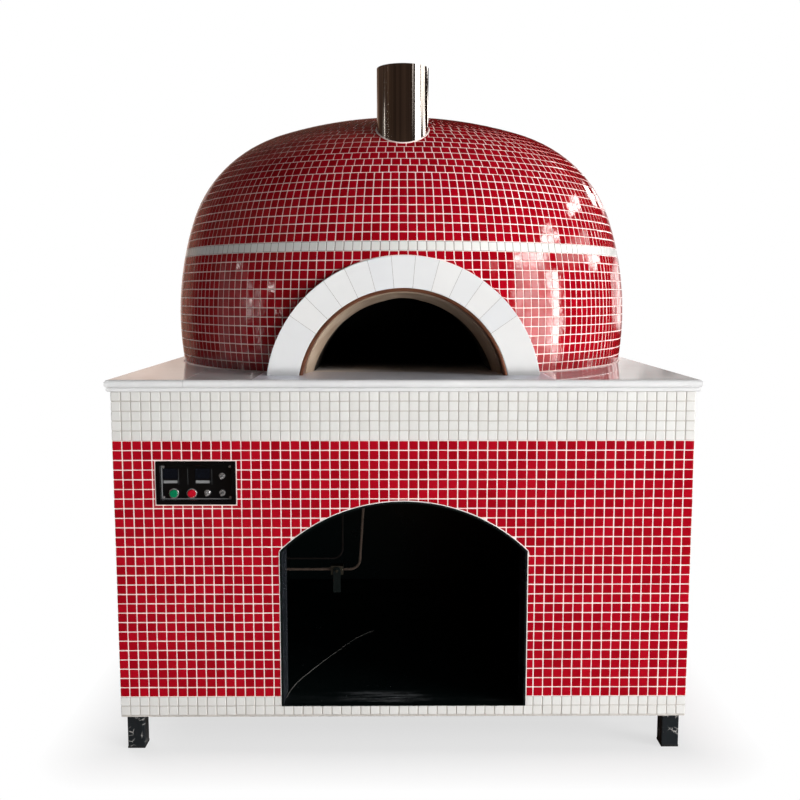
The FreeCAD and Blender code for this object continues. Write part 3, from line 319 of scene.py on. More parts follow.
# The lip's section of insets and depths goes up the left side, over the arc and down the right side.
# The sides stand at the half width less the inset. The arc keeps its middle, and its radius loses the inset.
inset, depth = np.array([(EDGING_SHOWN, LIP_FRONT), (LINER_FACE, LIP_FRONT), (LINER_FACE, STORE_FRONT),
                         (EDGING_SHOWN, STORE_FRONT)]).T
half, radius = STORE_HALF - inset, STORE_ARC - inset
turn = np.linspace(-1, 1, LIP_STEPS)[:, None] * np.arcsin(half / radius)
across = np.concatenate([-half[None], radius * np.sin(turn), half[None]])
upward = np.pad(STORE_TOP - STORE_ARC + radius * np.cos(turn), ((1, 1), (0, 0)), constant_values=STORE_SILL)
lip_shape = swept(across, depth, upward)

SILL_BACK = STORE_FRONT + 0.02
SILL_FACE = STORE_FRONT - 0.0001
SILL_BED = 0.0001
SILL_RISE = 0.0006
sill_section = [0, STORE_SILL] + np.array([
    (LIP_FRONT, SILL_RISE), (SILL_BACK, SILL_RISE), (SILL_BACK, SILL_BED), (SILL_FACE, SILL_BED),
    (SILL_FACE, -SILL_RISE), (LIP_FRONT, -SILL_RISE)])
sill_half = STORE_HALF - EDGING_SHOWN
sill_shape = drawn_out(sill_section, 0, -sill_half, sill_half)
new_piece("store_lip", [lip_shape, sill_shape], store_black)


def mottled(name, first, second, roughness, cloud_size, grain_size, relief, metallic=0.0):
    """Two tones that run into each other in soft clouds, over a fine grain in relief."""
    material, tree, place = new_finish(name, second, roughness, metallic)
    feed_shader(material, blend_colour(tree, soft_noise(tree, place, cloud_size), first, second), None,
                soft_noise(tree, place, grain_size), relief)
    return material


WELD_ROUTE = np.array([(-0.312, -0.765), (-0.310, -0.716), (-0.301, -0.664), (-0.287, -0.618),
                       (-0.230, -0.480), (-0.158, -0.324), (-0.118, -0.258), (-0.070, -0.215)])
WELD_LEVEL = STORE_SILL + 0.0004
WELD_RADIUS = 0.00055
WELD_RIPPLE = 0.15
WELD_BEAT = 2.4
WELD_POINTS = 81
WELD_EASE = 9

# The weld's line runs straight through the route, with its corners eased by an average.
# Its section is a circle across the line's direction, with a small ripple in its radius.
share = np.append(0, np.cumsum(np.linalg.norm(np.diff(WELD_ROUTE, axis=0), axis=1)))
way = np.linspace(0, share[-1], WELD_POINTS + WELD_EASE - 1)
runs = [np.interp(way, share, column) for column in WELD_ROUTE.T]
flat = np.stack([np.convolve(run, np.full(WELD_EASE, 1 / WELD_EASE), "valid") for run in runs], axis=1)
course = np.gradient(flat, axis=0)
course /= np.linalg.norm(course, axis=1, keepdims=True)
turn = np.arange(8) * math.pi / 4
size = WELD_RADIUS * (1 + WELD_RIPPLE * np.sin(np.arange(WELD_POINTS) * WELD_BEAT))[:, None]
aside = size * np.cos(turn)
weld_shape = swept(flat[:, :1] + aside * course[:, 1:], flat[:, 1:] - aside * course[:, :1],
                   WELD_LEVEL + size * np.sin(turn))
weld_grey = mottled("weld_grey", (0.26, 0.24, 0.22), (0.7, 0.68, 0.65), 0.35, 90, 700, 0.0003, 0.5)
new_piece("floor_weld", [weld_shape], weld_grey)

# Cladding boards: grey fibre-cement sheet screwed to the frame.
# They are covered by the mosaic, so only their edges show, inside the store and under the stand.
board_grey = mottled("board_grey", (0.34, 0.33, 0.31), (0.5, 0.49, 0.46), 0.85, 60, 600, 0.0004)
dress(board_grey, "front_board", "back_board", "side_boards")

# Mosaic bed on the stand: cement grout, pale and nearly level between the red tiles, grey and deeper between
# the white. The beds have the outlines of the mosaic fields, with the store, the panel and the fittings cut
# out. A bead of the grey grout closes the cladding's foot.
GROUT_DEPTH = 0.0006
WHITE_DEPTH = 0.0016
STAND_HALF_WIDTH, STAND_HALF_DEPTH, _ = corners("mosaic_upper_white")[1]


def cement(name, clean, stained):
    """Grout: one colour with soft stains and a sandy grain."""
    material, tree, place = new_finish(name, clean, 0.85)
    stain = remap(tree, soft_noise(tree, place, 14), 0.3, 0.7, 0, 1)
    colour = blend_colour(tree, stain, clean, stained)
    feed_shader(material, colour, None, soft_noise(tree, place, 1400), 0.0004)
    return material


grout_pale = cement("grout_pale", (0.97, 0.80, 0.765), (0.90, 0.73, 0.69))
grout_grey = cement("grout_grey", (0.62, 0.59, 0.55), (0.52, 0.49, 0.45))


def lay_bed(field, draw_in, grout):
    """A bed of grout: a mosaic field's loose triangles, joined up, with every point moved by one rule."""
    source = nodes[field].data
    points = np.empty(len(source.vertices) * 3)
    source.vertices.foreach_get("co", points)
    ends = np.empty(len(source.loops), int)
    source.loops.foreach_get("vertex_index", ends)
    joined, back = np.unique(np.round(points.reshape(-1, 3), 6), axis=0, return_inverse=True)
    triangles = back.ravel()[ends].reshape(-1, 3)
    open_ones = np.all(triangles != np.roll(triangles, 1, axis=1), axis=1)
    mesh = bpy.data.meshes.new("bed_" + field)
    mesh.from_pydata(draw_in(joined).tolist(), [], triangles[open_ones].tolist())
    mesh.update()
    new_piece("bed_" + field, mesh, grout)


def stand_bed(depth):
    """A rule that draws points on the stand's outer faces in by the depth of the joints."""
    limit = np.array([STAND_HALF_WIDTH, STAND_HALF_DEPTH, np.inf]) - depth
    return lambda points: np.clip(points, -limit, limit)


for field in ("mosaic_upper_white", "mosaic_lower_white"):
    lay_bed(field, stand_bed(WHITE_DEPTH), grout_grey)
for field in ("mosaic_red_front", "mosaic_red_back", "mosaic_red_sides"):
    lay_bed(field, stand_bed(GROUT_DEPTH), grout_pale)


SHARPEST_CORNER = 0.0003


def round_frame(half_u, half_v, corner, inset, points=5):
    """A rectangle with rounded corners, drawn in by several insets: u and v of its points all the way round.

    Each corner is a quarter circle. Its radius is the corner's less the inset, but never less than the
    sharpest one, and its middle lies that radius in from the drawn-in sides.
    """
    quarter = np.repeat(np.arange(4), points)
    turn = (quarter * math.pi / 2 + np.tile(np.linspace(0, math.pi / 2, points), 4))[:, None]
    side_u = np.array([1, -1, -1, 1])[quarter][:, None]
    side_v = np.array([1, 1, -1, -1])[quarter][:, None]
    radius = np.maximum(corner - inset, SHARPEST_CORNER)
    u = side_u * (half_u - inset - radius) + radius * np.cos(turn)
    v = side_v * (half_v - inset - radius) + radius * np.sin(turn)
    return u, v


STAND_FOOT = corners("mosaic_lower_white")[0][2]
BEAD_LOW = STAND_FOOT - 0.0045
BEAD_HIGH = STAND_FOOT + 0.0002
BEAD_FRONT = 0.0004
BEAD_BACK = 0.010
BEAD_ARRIS = 0.0014
STAND_CORNER = 0.003
inset, level = rounded_section((BEAD_FRONT, BEAD_LOW), (BEAD_BACK, BEAD_HIGH), BEAD_ARRIS).T
foot_shape = swept(*round_frame(STAND_HALF_WIDTH, STAND_HALF_DEPTH, STAND_CORNER, inset), level, True)
new_piece("foot_bead", [foot_shape], grout_grey)

# Mosaic on the stand: pressed glass tiles on a 25 mm pitch, red between a deep and a shallow white band.
# They come on backed sheets, so a tile sits a little off its neighbours in place, tilt and tone.
# Tiles that meet the store's arch or the panel are cut to them.
TILE_PITCH = 0.025
TILE_JOINT = 0.0026
TILE_CORNER = 0.0012
TILE_EDGE = 0.0010
TILE_DROP = 0.0005
TILE_CROWN = 0.00007
TILE_ROOT = WHITE_DEPTH + 0.0006
MOST_TRIMMED = 0.4
LEAST_AREA = 0.015 * (TILE_PITCH - TILE_JOINT) ** 2
LEAST_SIDE = 0.0022
SHEET_TILES = 12
SHEET_DRIFT = 0.00022
TILE_DRIFT = 0.00016
SIDE_SPREAD = 0.00012
LOWER_WHITE_ROWS = 2
UPPER_WHITE_ROWS = 5
STAND_ROWS = 34
chance = np.random.default_rng(41)


def lay_tiles(name, centre, across, up, half_low, half_high, half_up, tilt, fit=None, side_points=2):
    """Tiles as one mesh, each of three outlines and a crown: its root in the grout, its edge and its face.

    A tile's point is its centre, plus u along its width, v along its height and h outwards. Its half width
    runs evenly from its low edge to its high edge, and h leans with u and v by the tile's own small tilt.
    The face swells to a crown over its middle, so each tile mirrors a little more than its own share.
    """
    count = len(centre)
    out = np.cross(across, up)
    run, full = np.linspace(-1, 1, side_points), np.ones(side_points)
    side_u = np.concatenate([full, -run, -full, run])
    side_v = np.concatenate([run, full, -run, -full])
    half_low, half_high, half_up = (half[:, None, None] for half in (half_low, half_high, half_up))
    narrow = np.minimum(np.minimum(half_low, half_high), half_up)
    nip = np.minimum(TILE_CORNER, narrow * MOST_TRIMMED)
    nip_u = np.repeat([0, 1, 0, 1], side_points) * nip
    nip_v = np.repeat([1, 0, 1, 0], side_points) * nip
    inset = np.array([0, 0, 1])[:, None] * np.minimum(TILE_EDGE, narrow * MOST_TRIMMED)
    rise = np.array([-TILE_ROOT, -TILE_DROP, -TILE_CROWN])[:, None]
    v = side_v * (half_up - inset - nip_v)
    share = (v / half_up + 1) / 2
    u = side_u * (half_low * (1 - share) + half_high * share - inset - nip_u)
    lean = chance.normal(0, tilt, (2, count, 1, 1))
    h = rise + lean[0] * u + lean[1] * v
    points = centre[:, None, None] + u[..., None] * across[:, None, None]
    points = points + v[..., None] * up[:, None, None] + h[..., None] * out[:, None, None]
    tone = chance.random(count)
    if fit:
        points = fit(points, centre, out)
    face = points[:, 2] - points[:, 2].mean(1, keepdims=True)
    spread = np.cross(face, np.roll(face, -1, axis=1)).sum(1)
    kept = np.linalg.norm(spread, axis=-1) / 2 > LEAST_AREA
    points, tone, out, narrow = points[kept], tone[kept], out[kept], narrow[kept, 0]
    swell = TILE_CROWN * np.minimum(1, narrow / (TILE_PITCH / 3))
    crown = points[:, 2].mean(1) + swell * out
    turns = 4 * side_points
    each = 3 * turns + 1
    points = np.concatenate([points.reshape(-1, each - 1, 3), crown[:, None]], axis=1)
    step = np.arange(turns)
    after = np.roll(step, -1)
    ring = np.stack([step, after, after + turns, step + turns], axis=1)
    fan = np.stack([step + 2 * turns, after + 2 * turns, np.full(turns, each - 1)], axis=1)
    first = np.arange(len(points))[:, None, None] * each
    walls = (np.concatenate([ring, ring + turns]) + first).reshape(-1, 4)
    tops = (fan + first).reshape(-1, 3)
    mesh = bpy.data.meshes.new(name)
    mesh.from_pydata(points.reshape(-1, 3).tolist(), [], walls.tolist() + tops.tolist())
    mesh.attributes.new("tone", "FLOAT", "POINT").data.foreach_set("value", np.repeat(tone, each))
    mesh.polygons.foreach_set("use_smooth", np.arange(len(walls) + len(tops)) >= len(walls))
    ends = np.empty(2 * len(mesh.edges), int)
    mesh.edges.foreach_get("vertices", ends)
    ends = ends.reshape(-1, 2) % each
    rim = np.all((ends >= 2 * turns) & (ends < each - 1), axis=1)
    mesh.edges.foreach_set("use_edge_sharp", rim)
    mesh.update()
    return mesh


def cut_beside(low, high, hole_low, hole_high):
    """Tile rectangles kept clear of a square hole: a tile over its edge becomes the strips beyond it."""
    over = np.all((low < hole_high) & (high > hole_low), axis=1)
    (left, lower), (right, upper) = low[over].T, high[over].T
    (level_left, level_lower), (level_right, level_upper) = (
        np.maximum(low[over], hole_low).T, np.minimum(high[over], hole_high).T)
    strips = ((left, level_upper, right, upper), (left, lower, right, level_lower),
              (left, level_lower, level_left, level_upper), (level_right, level_lower, right, level_upper))
    cut = np.concatenate([np.stack(strip, axis=1) for strip in strips])
    return np.concatenate([low[~over], cut[:, :2]]), np.concatenate([high[~over], cut[:, 2:]])


def tiles_on_wall(across, out, columns, rows, hole=None):
    """Centres, directions and half sizes of upright tiles on one wall of the stand.

    In the wall's plane, a tile's low corner is its column and row times the pitch, plus half a joint and the
    small offsets of its sheet and its own. The tile is a pitch less a joint wide and tall.
    """
    column, row = (grid.ravel() for grid in np.meshgrid(np.arange(columns), np.arange(*rows), indexing="ij"))
    sheets = chance.normal(0, SHEET_DRIFT, (2, columns // SHEET_TILES + 1, STAND_ROWS // SHEET_TILES + 1))
    drift = sheets[:, column // SHEET_TILES, row // SHEET_TILES].T
    drift = drift + chance.normal(0, TILE_DRIFT, (len(column), 2))
    low = np.stack([(column - columns / 2) * TILE_PITCH, STAND_FOOT + row * TILE_PITCH], axis=1)
    low = low + TILE_JOINT / 2 + drift
    high = low + TILE_PITCH - TILE_JOINT + chance.normal(0, SIDE_SPREAD, (len(column), 2))
    if hole:
        low, high = cut_beside(low, high, *hole)
    wide = np.all(high - low > LEAST_SIDE, axis=1)
    low, high = low[wide], high[wide]
    middle, half = (low + high) / 2, (high - low) / 2
    reach = STAND_HALF_DEPTH if out[1] else STAND_HALF_WIDTH
    facing, upright = (np.tile(np.array(way, float), (len(low), 1)) for way in (across, (0, 0, 1)))
    centre = middle[:, :1] * facing + middle[:, 1:] * upright + reach * np.array(out)
    return centre, facing, upright, half[:, 0], half[:, 0], half[:, 1]


STORE_JOINT = 0.0004
WALL_NEAR = 0.001


def over_store(centre, half_u, half_up):
    """Which tiles stand on the front wall and reach into the box round the store's opening."""
    at_front = centre[:, 1] < WALL_NEAR - STAND_HALF_DEPTH
    beside = np.abs(centre[:, 0]) - half_u < STORE_HALF + STORE_JOINT
    between = (centre[:, 2] + half_up > STORE_SILL) & (centre[:, 2] - half_up < STORE_TOP + STORE_JOINT)
    return at_front & beside & between


def clear_of_store(points, centre, out):
    """Points inside the store's opening move onto its edge: sideways to its upright sides, or up to its arc.

    A point keeps its place across, but comes out at least as far as the arc is where it meets the tile's top.
    A tile that lies wholly inside shrinks to its centre, so it is left out.
    """
    joint = STORE_JOINT + np.array([0, 0, TILE_EDGE])[:, None]
    half, arc = STORE_HALF + joint, STORE_ARC + joint
    x, z = points[..., 0], points[..., 2] - (STORE_TOP - STORE_ARC)
    inside = (np.abs(x) < half) & (np.hypot(x, z) < arc) & (points[..., 2] > STORE_SILL)
    top = z.max(axis=2, keepdims=True)
    at_top = np.sqrt(np.maximum(arc ** 2 - top ** 2, 0))
    beside = at_top >= half
    reach = np.minimum(np.maximum(np.abs(x), at_top), half)
    moved = points.copy()
    moved[..., 0] = np.where(inside, np.sign(x) * reach, x)
    moved[..., 2] = np.where(inside & ~beside, np.sqrt(arc ** 2 - reach ** 2), z) + STORE_TOP - STORE_ARC
    lost = inside.all(axis=(1, 2))[:, None, None, None]
    return np.where(lost, centre[:, None, None], moved)


glaze, inlet, outlet = new_effect(
    "glaze", [("Dark", "Color", None), ("Light", "Color", None)],
    [("Color", "Color"), ("Roughness", "Float"), ("Ripple", "Float")])
tone = add_node(glaze, "Attribute", attribute_name="tone").outputs["Fac"]
cloud = remap(glaze, soft_noise(glaze, inlet["Place"], 55), 0.25, 0.75, -0.2, 0.2)
shade = add_node(glaze, "Math", tone, cloud, operation="ADD", use_clamp=True).outputs[0]
fill(glaze, outlet["Color"], blend_colour(glaze, shade, inlet["Dark"], inlet["Light"]))
fill(glaze, outlet["Roughness"], remap(glaze, tone, 0, 1, 0.025, 0.06))
fill(glaze, outlet["Ripple"], soft_noise(glaze, inlet["Place"], 85, 1.0))


def glass_tile(name, dark, light):
    """The glaze in two tones, with a slow ripple in the glass."""
    material, tree, place = new_finish(name, light, 0.08)
    glass = place_effect(tree, glaze, place, dark=dark, light=light)
    feed_shader(material, glass["Color"], glass["Roughness"], glass["Ripple"], 0.00016)
    return material


red_glass = glass_tile("red_glass", (0.33, 0.0012, 0.0078), (0.443, 0.0026, 0.013))
white_glass = glass_tile("white_glass", (0.75, 0.74, 0.71), (0.79, 0.785, 0.76))

FRONT_COLUMNS = 59
SIDE_COLUMNS = 63
FRONT = ((1, 0, 0), (0, -1, 0), FRONT_COLUMNS)
BACK = ((-1, 0, 0), (0, 1, 0), FRONT_COLUMNS)
RIGHT = ((0, 1, 0), (1, 0, 0), SIDE_COLUMNS)
LEFT = ((0, -1, 0), (-1, 0, 0), SIDE_COLUMNS)
ALL_WALLS = (FRONT, RIGHT, BACK, LEFT)
LOWER_ROWS = (0, LOWER_WHITE_ROWS)
RED_ROWS = (LOWER_WHITE_ROWS, STAND_ROWS - UPPER_WHITE_ROWS)
UPPER_ROWS = (STAND_ROWS - UPPER_WHITE_ROWS, STAND_ROWS)
STAND_TILT = 0.004
CUT_SIDE_POINTS = 8
PANEL_GROUT = 0.0028
panel_low, panel_high = corners("panel_frame")
panel_hole = (panel_low[[0, 2]] - PANEL_GROUT, panel_high[[0, 2]] + PANEL_GROUT)


def stand_field(name, walls, rows, glass, replaced, hole=None):
    """A field of tiles on walls of the stand, in place of the plain skin, with those at the store cut."""
    parts = [np.concatenate(column) for column in zip(*(tiles_on_wall(*wall, rows, hole) for wall in walls))]
    near = over_store(parts[0], parts[3], parts[5])
    whole, cut = ([part[chosen] for part in parts] for chosen in (~near, near))
    new_piece(name, lay_tiles(name, *whole, STAND_TILT), glass, replaced)
    if near.any():
        name = name + "_cut"
        new_piece(name, lay_tiles(name, *cut, STAND_TILT, clear_of_store, CUT_SIDE_POINTS), glass)


stand_field("tiles_red_front", (FRONT,), RED_ROWS, red_glass, "mosaic_red_front", panel_hole)
stand_field("tiles_red_back", (BACK,), RED_ROWS, red_glass, "mosaic_red_back")
stand_field("tiles_red_sides", (RIGHT, LEFT), RED_ROWS, red_glass, "mosaic_red_sides")
stand_field("tiles_white_upper", ALL_WALLS, UPPER_ROWS, white_glass, "mosaic_upper_white")
stand_field("tiles_white_lower", ALL_WALLS, LOWER_ROWS, white_glass, "mosaic_lower_white")

# Edging of the store's arch: white grout, carried round the opening by hand as a thin bead.
# It closes the cut edges of the tiles against the liner.
edging_white = mottled("edging_white", (0.76, 0.73, 0.7), (0.88, 0.87, 0.85), 0.6, 25, 700, 0.0004)
dress(edging_white, "opening_edging")

# Hearth: an insulating slab on the deck, and square refractory tiles bedded on it without mortar.
# The hearth has a painted pool of light at its left front, and painted shade with soot that darkens it
# towards its back.
# The chamber over it, cast in refractory, is black with soot.
speckle, inlet, outlet = new_effect(
    "speckle", [("Cloud size", "Float", 5), ("Grain size", "Float", 300)],
    [("Cloud", "Float"), ("Grain", "Float")])
for output, detail in (("Cloud", 5.0), ("Grain", 3.0)):
    noise = soft_noise(speckle, inlet["Place"], inlet[output + " size"], detail, 0.6)
    fill(speckle, outlet[output], remap(speckle, noise, 0.3, 0.7, 0, 1))


def mineral(name, dark, light, roughness, relief, cloud_size=6.0, grain_size=300.0):
    """A stone or fired clay, in clouds over a fine grain: the material, its tree, place, colour and grain."""
    material, tree, place = new_finish(name, light, roughness)
    stone = place_effect(tree, speckle, place, cloud_size=cloud_size, grain_size=grain_size)
    colour = blend_colour(tree, stone["Cloud"], dark, light)
    feed_shader(material, colour, None, stone["Grain"], relief)
    return material, tree, place, colour, stone["Grain"]


slab_board = mineral("slab_board", (0.60, 0.54, 0.42), (0.72, 0.66, 0.52), 0.95, 0.0006)[0]
dress(slab_board, "hearth_slab", "dome_insulation")
SOOT_AND_SHADE_BLACK = (0.007, 0.0065, 0.006)
LIT_PATCH_PALE = (0.95, 0.91, 0.88)
SHADE_FRONT = -0.55
SHADE_BACK = -0.20
LIT_PATCH_RIGHT = -0.02
LIT_PATCH_LEFT = -0.19
hearth_brick, tree, place, clay, _ = mineral(
    "hearth_brick", (0.42, 0.415, 0.425), (0.58, 0.575, 0.58), 0.6, 0.0006, 8.0, 220.0)
# Painted light: paler towards the left front, a pool of light. Painted shade with soot: darker towards the
# back.
across, along, _ = add_node(tree, "SeparateXYZ", place).outputs
lit_patch = blend_colour(tree, remap(tree, across, LIT_PATCH_RIGHT, LIT_PATCH_LEFT, 0, 0.9), clay, LIT_PATCH_PALE)
shade_and_soot = remap(tree, along, SHADE_FRONT, SHADE_BACK, 0, 0.96)
feed_shader(hearth_brick, blend_colour(tree, shade_and_soot, lit_patch, SOOT_AND_SHADE_BLACK))
dress(hearth_brick, "hearth_tiles")
vault_soot = mineral("vault_soot", (0.006, 0.0055, 0.005), (0.013, 0.012, 0.011), 0.95, 0.0008, 8.0, 220.0)[0]
dress(vault_soot, "chamber_vault")

# Counter: two slabs of pale polished stone with a rounded edge, butted at a joint left of the mouth.
# A thinner underlay of the same stone shows below it as a bead. The stone has faint grey clouds.
counter_stone, tree, _, _, grain = mineral(
    "counter_stone", (0.74, 0.74, 0.745), (0.84, 0.84, 0.835), 0.12, 0.0000008, 3.5, 700.0)
feed_shader(counter_stone, None, remap(tree, grain, 0, 1, 0.02, 0.05))
dress(counter_stone, "counter_main_slab", "counter_left_slab", "counter_underlay")

# Landing plate: a steel plate let into the counter before the mouth, level with the stone.
# It is brushed from side to side, and a little dulled by the peel.
brushed, inlet, outlet = new_effect(
    "brushed", [("Stretch", "Vector", (1, 1, 1)), ("Size", "Float", 900)],
    [("Line", "Float"), ("Smear", "Float")])
drawn = combine_vectors(brushed, "MULTIPLY", inlet["Place"], inlet["Stretch"])
fine_lines = soft_noise(brushed, drawn, inlet["Size"], 4.0, 0.7)
fill(brushed, outlet["Line"], remap(brushed, fine_lines, 0.25, 0.75, 0, 1))
fill(brushed, outlet["Smear"], remap(brushed, soft_noise(brushed, inlet["Place"], 7.0), 0.3, 0.7, 0, 1))


def brushed_metal(name, dark, light, smooth, rough, stretch, relief, size=900.0, metallic=1.0):
    """Bare metal with fine lines one way, which change its tone, its shine and its relief."""
    material, tree, place = new_finish(name, light, rough, metallic)
    metal = place_effect(tree, brushed, place, stretch=stretch, size=size)
    feed_shader(material, blend_colour(tree, metal["Line"], dark, light),
                remap(tree, metal["Smear"], 0, 1, smooth, rough), metal["Line"], relief)
    return material


landing_steel = brushed_metal("landing_steel", (0.70, 0.72, 0.79), (0.84, 0.86, 0.93), 0.42, 0.55,
                              (0.01, 1, 1), 0.00006, metallic=0.35)
dress(landing_steel, "landing_plate")

# Shell of the dome: a cement render trowelled over the insulation in two coats.
# All of it is behind the mosaic.
render_grey = mineral("render_grey", (0.46, 0.45, 0.43), (0.62, 0.60, 0.57), 0.95, 0.0012, 9.0, 180.0)[0]
dress(render_grey, "dome_render")

# Mosaic on the dome: the same glass tiles, set row by row on the curve, with one white row as a band.
# Columns run straight up to eight rows above the band. Higher up the rows close in, so each row
# takes as many whole tiles as fit, and the joints no longer line up.
DOME_AXIS = np.array([0.0, 0.04])
DOME_FOOT = corners("dome_mosaic_lower")[0][2]
DOME_RADIUS = corners("dome_mosaic_lower")[1][0]
DOME_HEIGHT = 0.768
WALL_RADIUS = 0.950
WALL_CENTRE = np.array([DOME_RADIUS - WALL_RADIUS, 0.142])
SHOULDER_RADIUS = 0.402
CROWN_RADIUS = 1.300
CROWN_CENTRE = np.array([0.0, DOME_HEIGHT - CROWN_RADIUS])

# The shoulder touches the wall's and the crown's arcs from inside, so its centre is away from each of their
# centres by the difference of the two radii.
from_wall = WALL_RADIUS - SHOULDER_RADIUS
from_crown = CROWN_RADIUS - SHOULDER_RADIUS
between = CROWN_CENTRE - WALL_CENTRE
apart = np.linalg.norm(between)
share = (from_wall ** 2 - from_crown ** 2 + apart ** 2) / (2 * apart)
aside = math.sqrt(from_wall ** 2 - share ** 2)
SHOULDER_CENTRE = WALL_CENTRE + between / apart * share + np.array([-between[1], between[0]]) / apart * aside
FOOT_TURN = -math.asin(WALL_CENTRE[1] / WALL_RADIUS)
LOW_TURN = math.atan2(*(SHOULDER_CENTRE - WALL_CENTRE)[::-1])
HIGH_TURN = math.atan2(*(SHOULDER_CENTRE - CROWN_CENTRE)[::-1])
ARC_TURNS = np.array([FOOT_TURN, LOW_TURN, HIGH_TURN])
ARC_RADII = np.array([WALL_RADIUS, SHOULDER_RADIUS, CROWN_RADIUS])
ARC_CENTRES = np.array([WALL_CENTRE, SHOULDER_CENTRE, CROWN_CENTRE])
ARC_STARTS = np.append(0, np.cumsum(ARC_RADII * np.diff([*ARC_TURNS, math.pi / 2])))
DOME_LENGTH = ARC_STARTS[3]
ON_FACE = 0.0006


def dome_outline(length):
    """The dome's outline at a length up from its foot: its radius, its height and its slope's angle.

    The outline is three arcs that run into each other. On each, the angle grows by length over radius,
    and the point is the arc's centre plus its radius towards that angle.
    """
    arc = np.searchsorted(ARC_STARTS[1:3], length)
    turn = ARC_TURNS[arc] + (length - ARC_STARTS[arc]) / ARC_RADII[arc]
    point = ARC_CENTRES[arc] + ARC_RADII[arc][..., None] * np.stack([np.cos(turn), np.sin(turn)], axis=-1)
    return point[..., 0], point[..., 1], turn


def dome_bed(points):
    """Points on the dome's outer face, drawn in to the centre of their arc by the depth of the joints."""
    flat = points[:, :2] - DOME_AXIS
    reach = np.linalg.norm(flat, axis=1)
    spot = np.stack([reach, points[:, 2] - DOME_FOOT], axis=1)
    wall_turn = np.arctan2(*(spot - WALL_CENTRE).T[::-1])
    crown_turn = np.arctan2(*(spot - CROWN_CENTRE).T[::-1])
    arc = np.where(wall_turn < LOW_TURN, 0, np.where(crown_turn > HIGH_TURN, 2, 1))
    radius, centre = ARC_RADII[arc], ARC_CENTRES[arc]
    arm = spot - centre
    far = np.linalg.norm(arm, axis=1)
    outer = np.abs(far - radius) < ON_FACE
    drawn = np.where(outer[:, None], centre + arm * ((radius - GROUT_DEPTH) / far)[:, None], spot)
    swell = drawn[:, 0] / np.maximum(reach, 1e-9)
    return np.column_stack([flat * swell[:, None] + DOME_AXIS, drawn[:, 1] + DOME_FOOT])


mortar_grey = cement("mortar_grey", (0.40, 0.375, 0.345), (0.30, 0.28, 0.26))
lay_bed("dome_mosaic_lower", dome_bed, grout_pale)
lay_bed("dome_mosaic_band", dome_bed, mortar_grey)
lay_bed("dome_mosaic_upper", dome_bed, grout_pale)

ARCH_MIDDLE = np.array([0.0, 0.924])
ARCH_OUTER = 0.364
flue_low, flue_high = corners("flue_pipe")
FLUE_MIDDLE = np.array([0.0, (flue_low[1] + flue_high[1]) / 2])
FLUE_RADIUS = flue_high[0]
CUT_JOINT = 0.002
CUT_REACH = 0.03
MOUTH_SIDE = -0.3
LEAST_LEAN = 0.3


def push_clear(points, centre, out, pair, middle, radius):
    """Points within a round cut move straight away from its middle to its rim, in the plane of their tile.

    A tile that lies wholly within the cut shrinks to its centre, so it is left out.
    """
    third = 3 - sum(pair)
    centre, out = centre[:, None, None], out[:, None, None]
    height = ((points - centre) * out).sum(-1)
    offset = points[..., pair] - middle
    reach = np.linalg.norm(offset, axis=-1)
    rim = radius + np.array([0, 0, TILE_EDGE])[:, None]
    moved = points.copy()
    moved[..., pair] = middle + offset * np.maximum(1, rim / np.maximum(reach, 1e-6))[..., None]
    left = height - ((moved - centre) * out)[..., pair].sum(-1)
    moved[..., third] = centre[..., third] + left / out[..., third]
    lost = (reach < rim).all(axis=(1, 2))[:, None, None, None]
    return np.where(lost, centre, moved)


def clear_of_mouth_and_flue(points, centre, out):
    """Tiles at the mouth are cut to the ring of stones, and tiles at the flue to the pipe."""
    points = points.copy()
    at_mouth = ([0, 2], ARCH_MIDDLE, ARCH_OUTER, centre[:, 1] < MOUTH_SIDE)
    at_flue = ([0, 1], FLUE_MIDDLE, FLUE_RADIUS, out[:, 2] > LEAST_LEAN)
    for pair, middle, radius, side in (at_mouth, at_flue):
        near = side & (np.linalg.norm(centre[:, pair] - middle, axis=1) < radius + CUT_REACH)
        points[near] = push_clear(points[near], centre[near], out[near], pair, middle, radius + CUT_JOINT)
    return points


ROUND_DRIFT = 0.00012
ROW_DRIFT = 0.0002
LEAST_TILE_WIDTH = 0.002
DOME_TILT = 0.0075


def dome_rows(edges, counts, starts):
    """Tiles of several rows, from the lengths at the rows' edges, the tiles in each row and its first turn.

    A row's tiles stand evenly round the axis. Each leans back with the outline at the row's middle, and its
    half widths are half the pitch at its low and high edge, less half a joint.
    """
    rows = []
    for low, high, count, start in zip(edges, edges[1:], counts, starts):
        turn = start + np.arange(count) * 2 * math.pi / count
        turn = turn + chance.normal(0, ROUND_DRIFT, count) / DOME_RADIUS
        length = (low + high) / 2 + chance.normal(0, ROW_DRIFT, count)
        radius, height, slope = dome_outline(length)
        face = np.stack([np.sin(turn), -np.cos(turn)], axis=1)
        across = np.stack([np.cos(turn), np.sin(turn), np.zeros(count)], axis=1)
        up = np.column_stack([face * -np.sin(slope)[:, None], np.cos(slope)])
        centre = np.column_stack([face * radius[:, None] + DOME_AXIS, height + DOME_FOOT])
        pitch = 2 * math.pi * dome_outline(np.array([low, high]))[0] / count
        half = [np.full(count, max(wide - TILE_JOINT, LEAST_TILE_WIDTH) / 2) for wide in pitch]
        tall = np.full(count, (high - low - TILE_JOINT) / 2)
        rows.append((centre, across, up, *half, tall))
    return [np.concatenate(column) for column in zip(*rows)]


def dome_field(part, edges, counts, starts, glass):
    """A field of tiles on the dome, in place of the plain skin, with those at the mouth and the flue cut."""
    name = "tiles_dome_" + part
    tiles = lay_tiles(name, *dome_rows(edges, counts, starts), DOME_TILT, clear_of_mouth_and_flue)
    new_piece(name, tiles, glass, "dome_mosaic_" + part)


